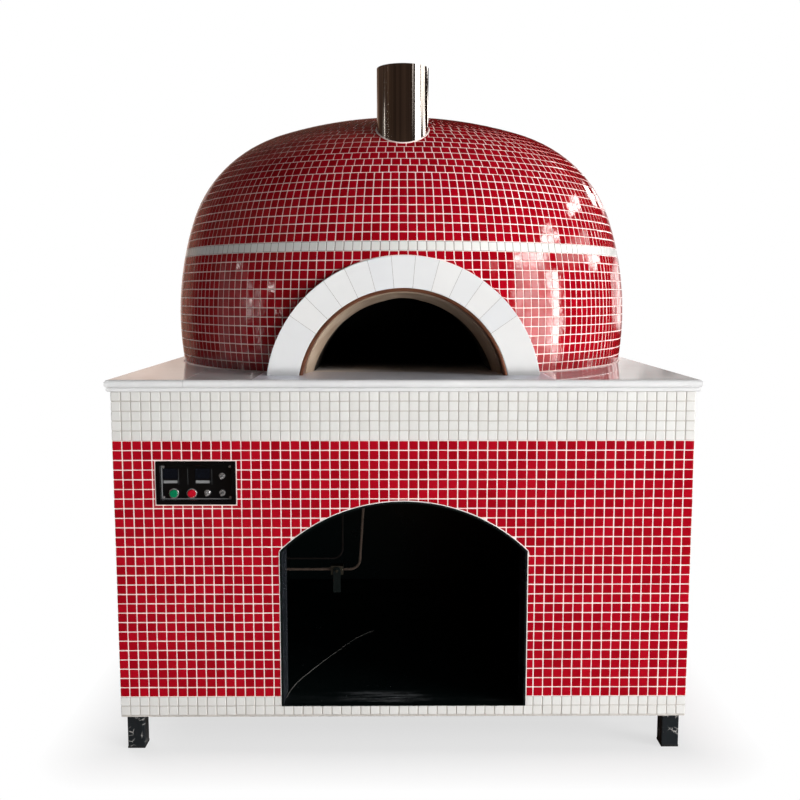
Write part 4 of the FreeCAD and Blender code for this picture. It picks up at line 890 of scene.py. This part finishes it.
DOME_COLUMNS = 182
LOW_ROWS = 13
STRAIGHT_ROWS = 8
CROWN_GAP = 0.005
band_levels = np.array([corner[2] for corner in corners("dome_mosaic_band")]) - DOME_FOOT
band_low, band_high = WALL_RADIUS * (np.arcsin((band_levels - WALL_CENTRE[1]) / WALL_RADIUS) - FOOT_TURN)
# The dome's red glass is a darker copy of the stand's: painted shade, as the dome takes less light than the
# stand.
shaded_dome_glass = glass_tile("shaded_dome_glass", (0.281, 0.0006, 0.0052), (0.374, 0.0012, 0.0089))
dome_field("lower", np.linspace(0, band_low, LOW_ROWS + 1), [DOME_COLUMNS] * LOW_ROWS, [0.0] * LOW_ROWS,
           shaded_dome_glass)
dome_field("band", [band_low, band_high], [DOME_COLUMNS], [0.0], white_glass)

top_length = DOME_LENGTH - CROWN_GAP
high_count = round((top_length - band_high) / TILE_PITCH)
high_edges = np.linspace(band_high, top_length, high_count + 1)
row_radii = dome_outline((high_edges[:-1] + high_edges[1:]) / 2)[0]
row_tiles = np.maximum(np.round(2 * math.pi * row_radii / TILE_PITCH).astype(int), 3)
row_tiles[:STRAIGHT_ROWS] = DOME_COLUMNS
row_starts = chance.random(high_count) * 2 * math.pi
row_starts[:STRAIGHT_ROWS] = 0
dome_field("upper", high_edges, row_tiles, row_starts, shaded_dome_glass)

# Foot of the dome: the grout is drawn round it with a finger as a small hollow fillet against the counter.
# It stops at the stones of the mouth on both sides.
FILLET_RISE = 0.005
FILLET_ROOT = 0.003
FILLET_LAP = 0.004
FILLET_POINTS = 181
hollow = np.linspace(0, math.pi / 2, 6)
foot_radius = float(dome_outline(np.array(0.0))[0])
fillet_reach = foot_radius + np.append(FILLET_RISE * (1 - np.sin(hollow)), [-FILLET_ROOT, -FILLET_ROOT])
fillet_level = DOME_FOOT + np.append(FILLET_RISE * (1 - np.cos(hollow)), [FILLET_RISE, 0])
first_turn = math.asin((ARCH_OUTER - FILLET_LAP) / foot_radius)
turn = np.linspace(first_turn, 2 * math.pi - first_turn, FILLET_POINTS)[:, None]
fillet_shape = swept(DOME_AXIS[0] + fillet_reach * np.sin(turn), DOME_AXIS[1] - fillet_reach * np.cos(turn),
                     fillet_level)
new_piece("foot_fillet", [fillet_shape], grout_pale, "dome_foot_fillet")

# Mouth: honed pale stones cut as wedges, with tight joints, standing on the counter.
# A brown metal strip with a rounded face lines the ring, and the cast throat opens out to it.
ARCH_INNER = 0.280
(_, ARCH_FACE, ARCH_FOOT), (_, ARCH_BACK, _) = corners("arch_stones")
ARCH_DROP = ARCH_FOOT - ARCH_MIDDLE[1]
STONE_JOINT = 0.0009
STONE_ARRIS = 0.0012
STONE_TURN = math.radians(10)
STONE_STEPS = 13
STONES_PER_SIDE = 6
RING_STEPS = 97
FOOT_LEAN = math.pi / 2
PAST_JOINTS = math.pi / 3


def arch_turn(radius, lean, joint):
    """The angle from the crown of a joint's face at a radius: its own, or past all joints the counter's."""
    foot = np.arccos(np.clip(ARCH_DROP / radius, -1, 1))
    return np.where(np.abs(lean) > PAST_JOINTS, np.sign(lean) * foot, lean + joint / radius)


def arch_stretch(low, high, arris, points, first, last, joint, steps):
    """A rounded section of radius and depth, carried round the mouth from one joint to the next.

    A point turns from the first joint's angle to the last one's in even steps, with half the joint taken off
    at both ends. It lies at radius times the angle's sine across and its cosine up.
    """
    share = np.linspace(0, 1, steps)[:, None]
    radius, depth = rounded_section(low, high, arris, points).T
    turn = arch_turn(radius, first, joint / 2) * (1 - share) + arch_turn(radius, last, -joint / 2) * share
    return swept(radius * np.sin(turn), depth, radius * np.cos(turn) + ARCH_MIDDLE[1])


joints = (np.arange(2 * STONES_PER_SIDE) - STONES_PER_SIDE + 0.5) * STONE_TURN
leans = [-FOOT_LEAN, *joints, FOOT_LEAN]
stones = [arch_stretch((ARCH_INNER, ARCH_FACE), (ARCH_OUTER, ARCH_BACK), STONE_ARRIS, 4, first, last,
                       STONE_JOINT, STONE_STEPS) for first, last in zip(leans, leans[1:])]
stone_mesh = joined_mesh("mouth_stones", stones)
stone_tone = np.repeat(chance.random(len(stones)), [len(points) for points, _ in stones])
stone_mesh.attributes.new("tone", "FLOAT", "POINT").data.foreach_set("value", stone_tone)
arch_stone, tree, _, clouded, _ = mineral(
    "arch_stone", (0.77, 0.77, 0.77), (0.84, 0.84, 0.835), 0.42, 0.00012, 11.0, 500.0)
tone = add_node(tree, "Attribute", attribute_name="tone").outputs["Fac"]
own_colour = blend_colour(tree, tone, (0.765, 0.78, 0.80), (0.85, 0.84, 0.82))
feed_shader(arch_stone, blend_colour(tree, 0.6, clouded, own_colour))
new_piece("mouth_stones", stone_mesh, arch_stone, "arch_stones")

JOINT_DEPTH = 0.0006
mortar_shape = arch_stretch((ARCH_INNER + JOINT_DEPTH, ARCH_FACE + JOINT_DEPTH),
                            (ARCH_OUTER - JOINT_DEPTH, ARCH_BACK - JOINT_DEPTH), STONE_ARRIS, 4,
                            -FOOT_LEAN, FOOT_LEAN, 2 * JOINT_DEPTH, RING_STEPS)
new_piece("mouth_joints", [mortar_shape], mortar_grey)

RING_INNER = 0.2707
RING_OUTER = 0.2797
RING_BACK = corners("arch_ring")[1][1]
RING_ARRIS = 0.0042
ring_shape = arch_stretch((RING_INNER, ARCH_FACE), (RING_OUTER, RING_BACK), RING_ARRIS, 6,
                          -FOOT_LEAN, FOOT_LEAN, 0, RING_STEPS)
brown_metal, tree, place = new_finish("brown_metal", (0.3, 0.12, 0.07), 0.3, 0.7)
metal = place_effect(tree, brushed, place, stretch=(1, 0.05, 1), size=500.0)
feed_shader(brown_metal, blend_colour(tree, metal["Smear"], (0.17, 0.06, 0.035), (0.38, 0.16, 0.09)), None,
            metal["Line"], 0.0001)
new_piece("mouth_ring", [ring_shape], brown_metal, "arch_ring")

# Painted shade with soot: the throat turns black beyond a sloped line, where the mouth is dark behind its
# lip.
SHADE_LINE_DEPTH = -0.538
SHADE_LINE_SLOPE = 0.37
SHADE_LINE_EDGE = 0.010
throat_cast, tree, place, clay, _ = mineral(
    "throat_cast", (0.35, 0.255, 0.18), (0.49, 0.385, 0.29), 0.9, 0.0006, 14.0, 260.0)
_, along, upward = add_node(tree, "SeparateXYZ", place).outputs
above_middle = combine(tree, "SUBTRACT", upward, ARCH_MIDDLE[1])
sloped = combine(tree, "MULTIPLY_ADD", above_middle, -SHADE_LINE_SLOPE, along)
throat_shade_and_soot = remap(tree, sloped, SHADE_LINE_DEPTH, SHADE_LINE_DEPTH + SHADE_LINE_EDGE, 0, 0.97)
feed_shader(throat_cast, blend_colour(tree, throat_shade_and_soot, clay, SOOT_AND_SHADE_BLACK))
dress(throat_cast, "mouth_throat")

# Flue: a rolled stainless pipe, brushed along its length and a little tanned by the heat.
# A bead of grout closes the tiles against its foot.
flue_steel = brushed_metal("flue_steel", (0.30, 0.27, 0.245), (0.66, 0.61, 0.565), 0.085, 0.11,
                           (1, 1, 0.002), 0.000001, 130.0)
dress(flue_steel, "flue_pipe", "hearth_thermocouple")
BEAD_RADIUS = 0.0024
BEAD_REACH = FLUE_RADIUS + BEAD_RADIUS * 0.5
BEAD_TURNS = 72
OUTLINE_POINTS = 400

# The bead's section is a small circle, carried round the pipe at the height where the dome's outline passes.
turn = np.arange(BEAD_TURNS)[:, None] * 2 * math.pi / BEAD_TURNS
outline_radius, outline_height, _ = dome_outline(np.linspace(0, DOME_LENGTH, OUTLINE_POINTS))
high_half = outline_height > WALL_CENTRE[1]
bead_x = FLUE_MIDDLE[0] + BEAD_REACH * np.cos(turn)
bead_y = FLUE_MIDDLE[1] + BEAD_REACH * np.sin(turn)
from_axis = np.hypot(bead_x - DOME_AXIS[0], bead_y - DOME_AXIS[1])
bead_z = DOME_FOOT + np.interp(-from_axis, -outline_radius[high_half], outline_height[high_half])
section_turn = np.arange(8) * math.pi / 4
swell = BEAD_RADIUS * np.cos(section_turn)
bead_shape = swept(bead_x + swell * np.cos(turn), bead_y + swell * np.sin(turn),
                   bead_z + BEAD_RADIUS * np.sin(section_turn), True)
new_piece("flue_bead", [bead_shape], grout_pale)

# Gas line: bent copper tube from the back, through a control valve, to a lever valve in the store.
# From there one tube rises to the burner and a thinner one runs to the pilot.
tube_copper = brushed_metal("tube_copper", (0.13, 0.095, 0.075), (0.22, 0.165, 0.135), 0.25, 0.45,
                            (1, 1, 1), 0.0001, 60.0, 0.6)
dress(tube_copper, "gas_supply_rear", "gas_supply_front", "gas_riser")
# The pilot tube has a much darker copy of the copper: painted shade.
tube_copper_shaded = brushed_metal("tube_copper_shaded", (0.018, 0.015, 0.014), (0.03, 0.026, 0.024), 0.4, 0.6,
                          (1, 1, 1), 0.0001, 60.0, 0.6)
dress(tube_copper_shaded, "pilot_tube")
fitting_brass = brushed_metal("fitting_brass", (0.07, 0.066, 0.05), (0.13, 0.12, 0.09), 0.25, 0.45,
                              (1, 0.05, 1), 0.00005, metallic=0.7)
dress(fitting_brass, "gas_inlet", "gas_valve_body")
VALVE_DARK = (0.007, 0.011, 0.0105)
valve_paint, tree, place = new_finish("valve_paint", VALVE_DARK, 0.45)
worn = place_effect(tree, scuffs, place, stretch=(1, 1, 1), size=160, bare=0.66)
feed_shader(valve_paint, blend_colour(tree, worn["Mask"], VALVE_DARK, (0.05, 0.055, 0.053)), None,
            soft_noise(tree, place, 900), 0.0002)
dress(valve_paint, "gas_control_valve", "gas_valve_lever")
burner_iron = mineral("burner_iron", (0.028, 0.026, 0.025), (0.07, 0.066, 0.062), 0.75, 0.0008,
                      30.0, 420.0)[0]
dress(burner_iron, "burner", "pilot_burner")


# Control panel: a black moulded frame let into the tiles, with a flat face set back in it.
# The face carries two dark display windows over blank pale strips, push buttons in bright rims, toggles with
# chromed nuts, three raised ribs and a screw by each corner. A thin trim seals it to the frame; its light
# grey is a painted highlight along the face's edge.
def moulded(name, colour, roughness, relief):
    """A moulded plastic: one colour with slight clouds, and a fine even grain."""
    darker = tuple(part * 0.8 for part in colour)
    return mineral(name, darker, colour, roughness, relief, 40.0, 900.0)[0]


PANEL_BORDER = 0.0115
PANEL_CORNER = 0.004
PANEL_ARRIS = 0.0018
TRIM_INNER = PANEL_BORDER + 0.0015
TRIM_OUTER = PANEL_BORDER + 0.0001
TRIM_RISE = 0.0008
TRIM_ROOT = 0.0005
TRIM_ARRIS = 0.0003
panel_middle, panel_half = (panel_low + panel_high) / 2, (panel_high - panel_low) / 2
face_front = corners("panel_face")[0][1]


def panel_ring(name, low, high, arris, finish, replaced=None):
    """A rounded section of inset and depth, carried round the panel's rounded rectangle."""
    inset, depth = rounded_section(low, high, arris).T
    u, v = round_frame(panel_half[0], panel_half[2], PANEL_CORNER, inset)
    shape = swept(panel_middle[0] + u, depth, panel_middle[2] + v, True)
    new_piece(name, [shape], finish, replaced)


panel_black = moulded("panel_black", (0.0018, 0.0022, 0.0026), 0.16, 0.00002)
panel_ring("panel_surround", (0, panel_low[1]), (PANEL_BORDER, panel_high[1]), PANEL_ARRIS, panel_black,
           "panel_frame")
# The trim's light grey is a painted highlight along the face's inner edge.
trim_highlight_grey = moulded("trim_highlight_grey", (0.42, 0.43, 0.44), 0.35, 0.00002)
panel_ring("panel_trim", (TRIM_OUTER, face_front - TRIM_RISE), (TRIM_INNER, face_front + TRIM_ROOT),
           TRIM_ARRIS, trim_highlight_grey)
face_black = moulded("face_black", (0.0024, 0.0029, 0.0034), 0.3, 0.00005)
dress(face_black, "panel_face", "panel_housing", "cable_gland")
window_dark = moulded("window_dark", (0.0030, 0.0048, 0.0085), 0.08, 0.00001)
dress(window_dark, "displays")

STRIP_ARRIS = 0.0004
STRIP_ROOT = 0.0003


def raised_strips(name, spans, low_z, high_z, rise, finish):
    """Flat strips on the face between pairs of places: a rounded outline carried forward by the rise."""
    shapes = [drawn_out(rounded_section((low_x, low_z), (high_x, high_z), STRIP_ARRIS), 1,
                        face_front + STRIP_ROOT, face_front - rise) for low_x, high_x in spans]
    new_piece(name, shapes, finish)


RIB_HALF = 0.0006
RIB_PLACES = (-0.0465, -0.0232, 0.038)
RIB_LOW = panel_middle[2] - 0.007
RIB_HIGH = panel_middle[2] + 0.0335
RIB_RISE = 0.0005
rib_grey = moulded("rib_grey", (0.06, 0.063, 0.066), 0.35, 0.00002)
rib_spans = [(panel_middle[0] + rib - RIB_HALF, panel_middle[0] + rib + RIB_HALF) for rib in RIB_PLACES]
raised_strips("panel_ribs", rib_spans, RIB_LOW, RIB_HIGH, RIB_RISE, rib_grey)

WINDOW_WIDTH = 0.037
STRIP_INSET = 0.001
STRIP_DROP = 0.0045
STRIP_HEIGHT = 0.0072
STRIP_RISE = 0.0003
window_low, window_high = corners("displays")
strip_top = window_low[2] - STRIP_DROP
strip_spans = [(left + STRIP_INSET, left + WINDOW_WIDTH - STRIP_INSET)
               for left in (window_low[0], window_high[0] - WINDOW_WIDTH)]
strip_grey = moulded("strip_grey", (0.26, 0.265, 0.27), 0.45, 0.00002)
raised_strips("panel_strips", strip_spans, strip_top - STRIP_HEIGHT, strip_top, STRIP_RISE, strip_grey)

button_green = moulded("button_green", (0.0, 0.21, 0.085), 0.18, 0.00001)
dress(button_green, "button_green")
button_red = moulded("button_red", (0.56, 0.003, 0.018), 0.18, 0.00001)
dress(button_red, "button_red")
bright_chrome = brushed_metal("bright_chrome", (0.76, 0.77, 0.78), (0.9, 0.9, 0.9), 0.16, 0.26,
                              (1, 1, 1), 0.00001, 300.0, 0.78)
TURNED_POINTS = 48


def turned(low, high, arris, middle_x, middle_z):
    """A ring turned on a lathe: a rounded section of radius and depth carried round its own middle."""
    radius, depth = rounded_section(low, high, arris).T
    turn = np.arange(TURNED_POINTS)[:, None] * 2 * math.pi / TURNED_POINTS
    return swept(middle_x + radius * np.cos(turn), depth, middle_z + radius * np.sin(turn), True)


RIM_GAP = 0.0001
RIM_ARRIS = 0.0007
rims_low, rims_high = corners("button_bodies")
rim_half = (rims_high[2] - rims_low[2]) / 2
cap_low, cap_high = corners("button_green")
rim_bore = (cap_high[0] - cap_low[0]) / 2 + RIM_GAP
rims = [turned((rim_bore, rims_low[1]), (rim_half, rims_high[1]), RIM_ARRIS, rim_x, rims_low[2] + rim_half)
        for rim_x in (rims_low[0] + rim_half, rims_high[0] - rim_half)]
new_piece("button_rims", rims, bright_chrome, "button_bodies")

NUT_HALF = 0.008
NUT_ARRIS = 0.0009
NUT_FRONT = face_front - 0.003
BUSH_HALF = 0.006
BUSH_BORE = 0.0036
BUSH_BACK = NUT_FRONT - 0.0001
BUSH_ARRIS = 0.0007
nuts_low, nuts_high = corners("toggle_bodies")
nut_left, nut_right = nuts_low[0] + NUT_HALF, nuts_high[0] - NUT_HALF
nut_lower, nut_upper = nuts_low[2] + NUT_HALF, nuts_high[2] - NUT_HALF
nuts = []
for nut in ((nut_left, nut_lower), (nut_right, nut_lower), (nut_right, nut_upper)):
    nuts.append(turned((BUSH_BORE, NUT_FRONT), (NUT_HALF, nuts_high[1]), NUT_ARRIS, *nut))
    nuts.append(turned((BUSH_BORE, nuts_low[1]), (BUSH_HALF, BUSH_BACK), BUSH_ARRIS, *nut))
new_piece("toggle_nuts", nuts, bright_chrome, "toggle_bodies")
dress(bright_chrome, "toggle_lever_left", "toggle_lever_right", "toggle_lever_upper", "panel_screws")

# Studio: a pale floor that fades into a white surround, a large soft lamp from the right, a low one in front
# and two weak ones behind. A dim room that only mirrors in shiny faces carries the windows, whose broken
# highlights show on the dome.
scene = bpy.context.scene
scene.view_settings.view_transform = "Standard"


def stage_piece(name, points, faces, material):
    """A piece of the studio, which is not part of the oven."""
    mesh = bpy.data.meshes.new(name)
    mesh.from_pydata(points.tolist(), [], faces)
    mesh.materials.append(material)
    piece = bpy.data.objects.new(name, mesh)
    scene.collection.objects.link(piece)
    return piece


FLOOR_REACH = 30.0
FADE_REACH = 0.21
FADE_FIRST = 0.68
floor_pale, tree, place = new_finish("floor_pale", (0.82, 0.82, 0.82), 0.9)
beyond = combine_vectors(tree, "ABSOLUTE", place)
beyond = combine_vectors(tree, "SUBTRACT", beyond, (STAND_HALF_WIDTH, STAND_HALF_DEPTH, 0))
beyond = combine_vectors(tree, "MAXIMUM", beyond, (0, 0, 0))
from_foot = add_node(tree, "VectorMath", beyond, operation="LENGTH").outputs["Value"]
fade = remap(tree, from_foot, 0, FADE_REACH, FADE_FIRST, 1)
whitened = combine(tree, "MULTIPLY", fade, add_node(tree, "LightPath").outputs["Is Camera Ray"])
white = add_node(tree, "Emission", (1, 1, 1), 1.0).outputs[0]
mixed = add_node(tree, "MixShader", whitened, tree.nodes["Principled BSDF"].outputs[0], white).outputs[0]
fill(tree, tree.nodes["Material Output"].inputs["Surface"], mixed)
floor_corners = np.array([[-1, -1, 0], [1, -1, 0], [1, 1, 0], [-1, 1, 0]]) * FLOOR_REACH
stage_piece("studio_floor", floor_corners, [[0, 1, 2, 3]], floor_pale)

ROOM_REACH = 9.0
ROOM_FOOT = 0.0015
ROOM_MIDDLE = (0.0, 0.0, 1.2)
ROOM_TURNS = 64
ROOM_LIFTS = 16
room_dim, tree, place = new_finish("room_dim", (0.1, 0.1, 0.1), 0.9)
arm = combine_vectors(tree, "NORMALIZE", combine_vectors(tree, "SUBTRACT", place, ROOM_MIDDLE))
side, back, above = add_node(tree, "SeparateXYZ", arm).outputs
room_turn = combine(tree, "DEGREES", combine(tree, "ARCTAN2", side, combine(tree, "MULTIPLY", back, -1)))
room_lift = combine(tree, "DEGREES", combine(tree, "ARCSINE", above))
PANE_EDGE = 1.5
DIM_LEVEL = 0.025


def lit_panes(tree, panes):
    """Lit windows on the room's wall, added up.

    Each has two turns from the front to the right and two lifts, in degrees, its level, and how many degrees
    its edge takes to fade.
    """
    total = None
    for turn_low, turn_high, lift_low, lift_high, glow, *soft in panes:
        soft = soft[0] if soft else PANE_EDGE
        for angle, low, high in ((room_turn, turn_low, turn_high), (room_lift, lift_low, lift_high)):
            glow = combine(tree, "MULTIPLY", remap(tree, angle, low, low + soft, 0, 1), glow)
            glow = combine(tree, "MULTIPLY", remap(tree, angle, high - soft, high, 1, 0), glow)
        total = glow if total is None else combine(tree, "ADD", total, glow)
    return total


windows = lit_panes(tree, (
    (54, 76, -14, 19.5, 5.2), (56, 78, 15.5, 19.5, 14.0), (70, 88, 20, 23.5, 22.0), (77, 86, 23, 26.5, 22.0),
    (74, 82, -12, 13.5, 22.0, 2.5), (102, 121, 23, 29.5, 22.0), (136, 146, 16.5, 22.5, 9.0),
    (145, 155, 11, 16, 5.0), (104, 117, 9, 13.2, 12.0), (82, 112, 12, 19, 2.2), (129, 150, -4, 6.5, 2.0),
    (-100, -78, -12, 14, 0.22), (-80.5, -76, -2.5, 9.5, 2.8), (-73.5, -69, -12, 9, 2.2),
    (-87.5, -85, 11.5, 14, 14.0),
    (-81.2, -79.2, 7, 9.5, 28.0), (-79.3, -77.3, 2.5, 7, 22.0), (-65.3, -63, 5.5, 10, 32.0),
    (-58.6, -56.5, 0, 2.2, 30.0), (-54.6, -52.5, 2.4, 4.5, 28.0), (-62, -60, -0.6, 1.6, 26.0),
    (41, 45, 11.5, 19, 2.0), (150, 182, -4, 16, 0.6), (-182, -150, -4, 16, 0.28)))
seen_at = add_node(tree, "CombineXYZ", room_turn, room_lift, 0).outputs[0]
broken = remap(tree, soft_noise(tree, seen_at, 0.22, 2.0), 0.35, 0.65, 0.4, 1.6)
windows = combine(tree, "MULTIPLY", windows, broken)
tan_wall = lit_panes(tree, (
    (-215, -122, -25, 20, 0.36, 14), (-215, -122, 6, 80, 0.1, 14), (-110, 40, -90, 12, 0.032),
    (-125, -55, 8, 40, 0.07, 10), (-70, 45, 8, 40, 0.025, 6)))
gloom = combine(tree, "ADD", tan_wall, DIM_LEVEL)
round_about = add_node(tree, "CombineXYZ", remap(tree, room_turn, -180, 180, 0, 1), 0, 0).outputs[0]
uneven = remap(tree, soft_noise(tree, round_about, 26.0), 0.3, 0.7, 0.45, 1.5)
gloom = combine(tree, "MULTIPLY", gloom, uneven)
walls = add_node(tree, "Emission", (1, 0.62, 0.44), gloom).outputs[0]
panes = add_node(tree, "Emission", (1, 0.97, 0.94), windows).outputs[0]
glowing = add_node(tree, "AddShader", walls, panes).outputs[0]
fill(tree, tree.nodes["Material Output"].inputs["Surface"], glowing)

# The room is half a ball: rings of points by their turn and lift, with a fan at its top and on its ground.
turn = np.arange(ROOM_TURNS) * 2 * math.pi / ROOM_TURNS
lift = np.arange(ROOM_LIFTS)[:, None] * math.pi / 2 / ROOM_LIFTS
rings = np.broadcast_arrays(np.cos(turn) * np.cos(lift), np.sin(turn) * np.cos(lift), np.sin(lift))
rings = np.stack(rings, axis=-1)
room_points = np.concatenate([rings.reshape(-1, 3), [[0, 0, 1], [0, 0, 0]]]) * ROOM_REACH + [0, 0, ROOM_FOOT]
step = np.arange(ROOM_TURNS)
after = np.roll(step, -1)
first = np.arange(ROOM_LIFTS - 1)[:, None] * ROOM_TURNS
last = (ROOM_LIFTS - 1) * ROOM_TURNS
top, ground = np.full(ROOM_TURNS, last + ROOM_TURNS), np.full(ROOM_TURNS, last + ROOM_TURNS + 1)
second = first + ROOM_TURNS
room_walls = np.stack([first + step, second + step, second + after, first + after], axis=-1)
top_fan = np.stack([step + last, top, after + last], axis=1)
ground_fan = np.stack([step, after, ground], axis=1)
room_faces = room_walls.reshape(-1, 4).tolist() + top_fan.tolist() + ground_fan.tolist()
studio_room = stage_piece("studio_room", room_points, room_faces, room_dim)
for sort in ("camera", "diffuse", "shadow", "transmission", "volume_scatter"):
    setattr(studio_room, "visible_" + sort, False)

# The world is white to the camera and in shiny faces. It lights the oven dimly, with more from the right.
SKY_LEVEL = 0.06
SKY_FROM_RIGHT = 0.05
SKY_FROM_ABOVE = 0.02
SKY_LEAST = 0.04
scene.world = bpy.data.worlds.new("studio")
scene.world.use_nodes = True
tree = scene.world.node_tree
side, _, above = add_node(tree, "SeparateXYZ", add_node(tree, "TexCoord").outputs["Generated"]).outputs
level = combine(tree, "MULTIPLY_ADD", side, SKY_FROM_RIGHT, SKY_LEVEL)
level = combine(tree, "MAXIMUM", combine(tree, "MULTIPLY_ADD", above, SKY_FROM_ABOVE, level), SKY_LEAST)
rays = add_node(tree, "LightPath").outputs
seen = combine(tree, "MAXIMUM", rays["Is Camera Ray"], rays["Is Glossy Ray"])
seen = combine(tree, "MAXIMUM", seen, rays["Is Transmission Ray"])
fill(tree, tree.nodes["Background"].inputs["Color"], (1, 1, 1))
fill(tree, tree.nodes["Background"].inputs["Strength"], remap(tree, seen, 0, 1, level, 1))


def soft_lamp(name, turn, lift, distance, width, height, power, level=1.0):
    """A soft rectangle of light that faces the oven's axis, at a turn from front to right and a lift."""
    lamp = bpy.data.lights.new(name, "AREA")
    lamp.shape = "RECTANGLE"
    lamp.size = width
    lamp.size_y = height
    lamp.energy = power
    holder = bpy.data.objects.new(name, lamp)
    turn, lift = math.radians(turn), math.radians(lift)
    out = np.array([math.sin(turn) * math.cos(lift), -math.cos(turn) * math.cos(lift), math.sin(lift)])
    holder.location = np.array([0, 0, level]) + out * distance
    holder.rotation_euler = (math.pi / 2 - lift, 0, turn)
    holder.visible_glossy = False
    holder.visible_camera = False
    scene.collection.objects.link(holder)


soft_lamp("key", 65, 12, 14.0, 7.0, 5.6, 1500)
soft_lamp("low", 30, 0, 6.5, 5.0, 1.0, 310, 0.25)
soft_lamp("left", -135, 20, 6.0, 2.5, 2.5, 150)
soft_lamp("back", 180, 30, 6.0, 3.0, 2.5, 190)

camera = bpy.data.cameras.new("view")
camera.sensor_width = 36.0
camera.lens = 42.975
viewer = bpy.data.objects.new("view", camera)
viewer.location = (-0.0236, -3.1762, 1.1935)
viewer.rotation_euler = (math.radians(90 - 6.452), 0, math.radians(-0.338))
scene.collection.objects.link(viewer)
scene.camera = viewer
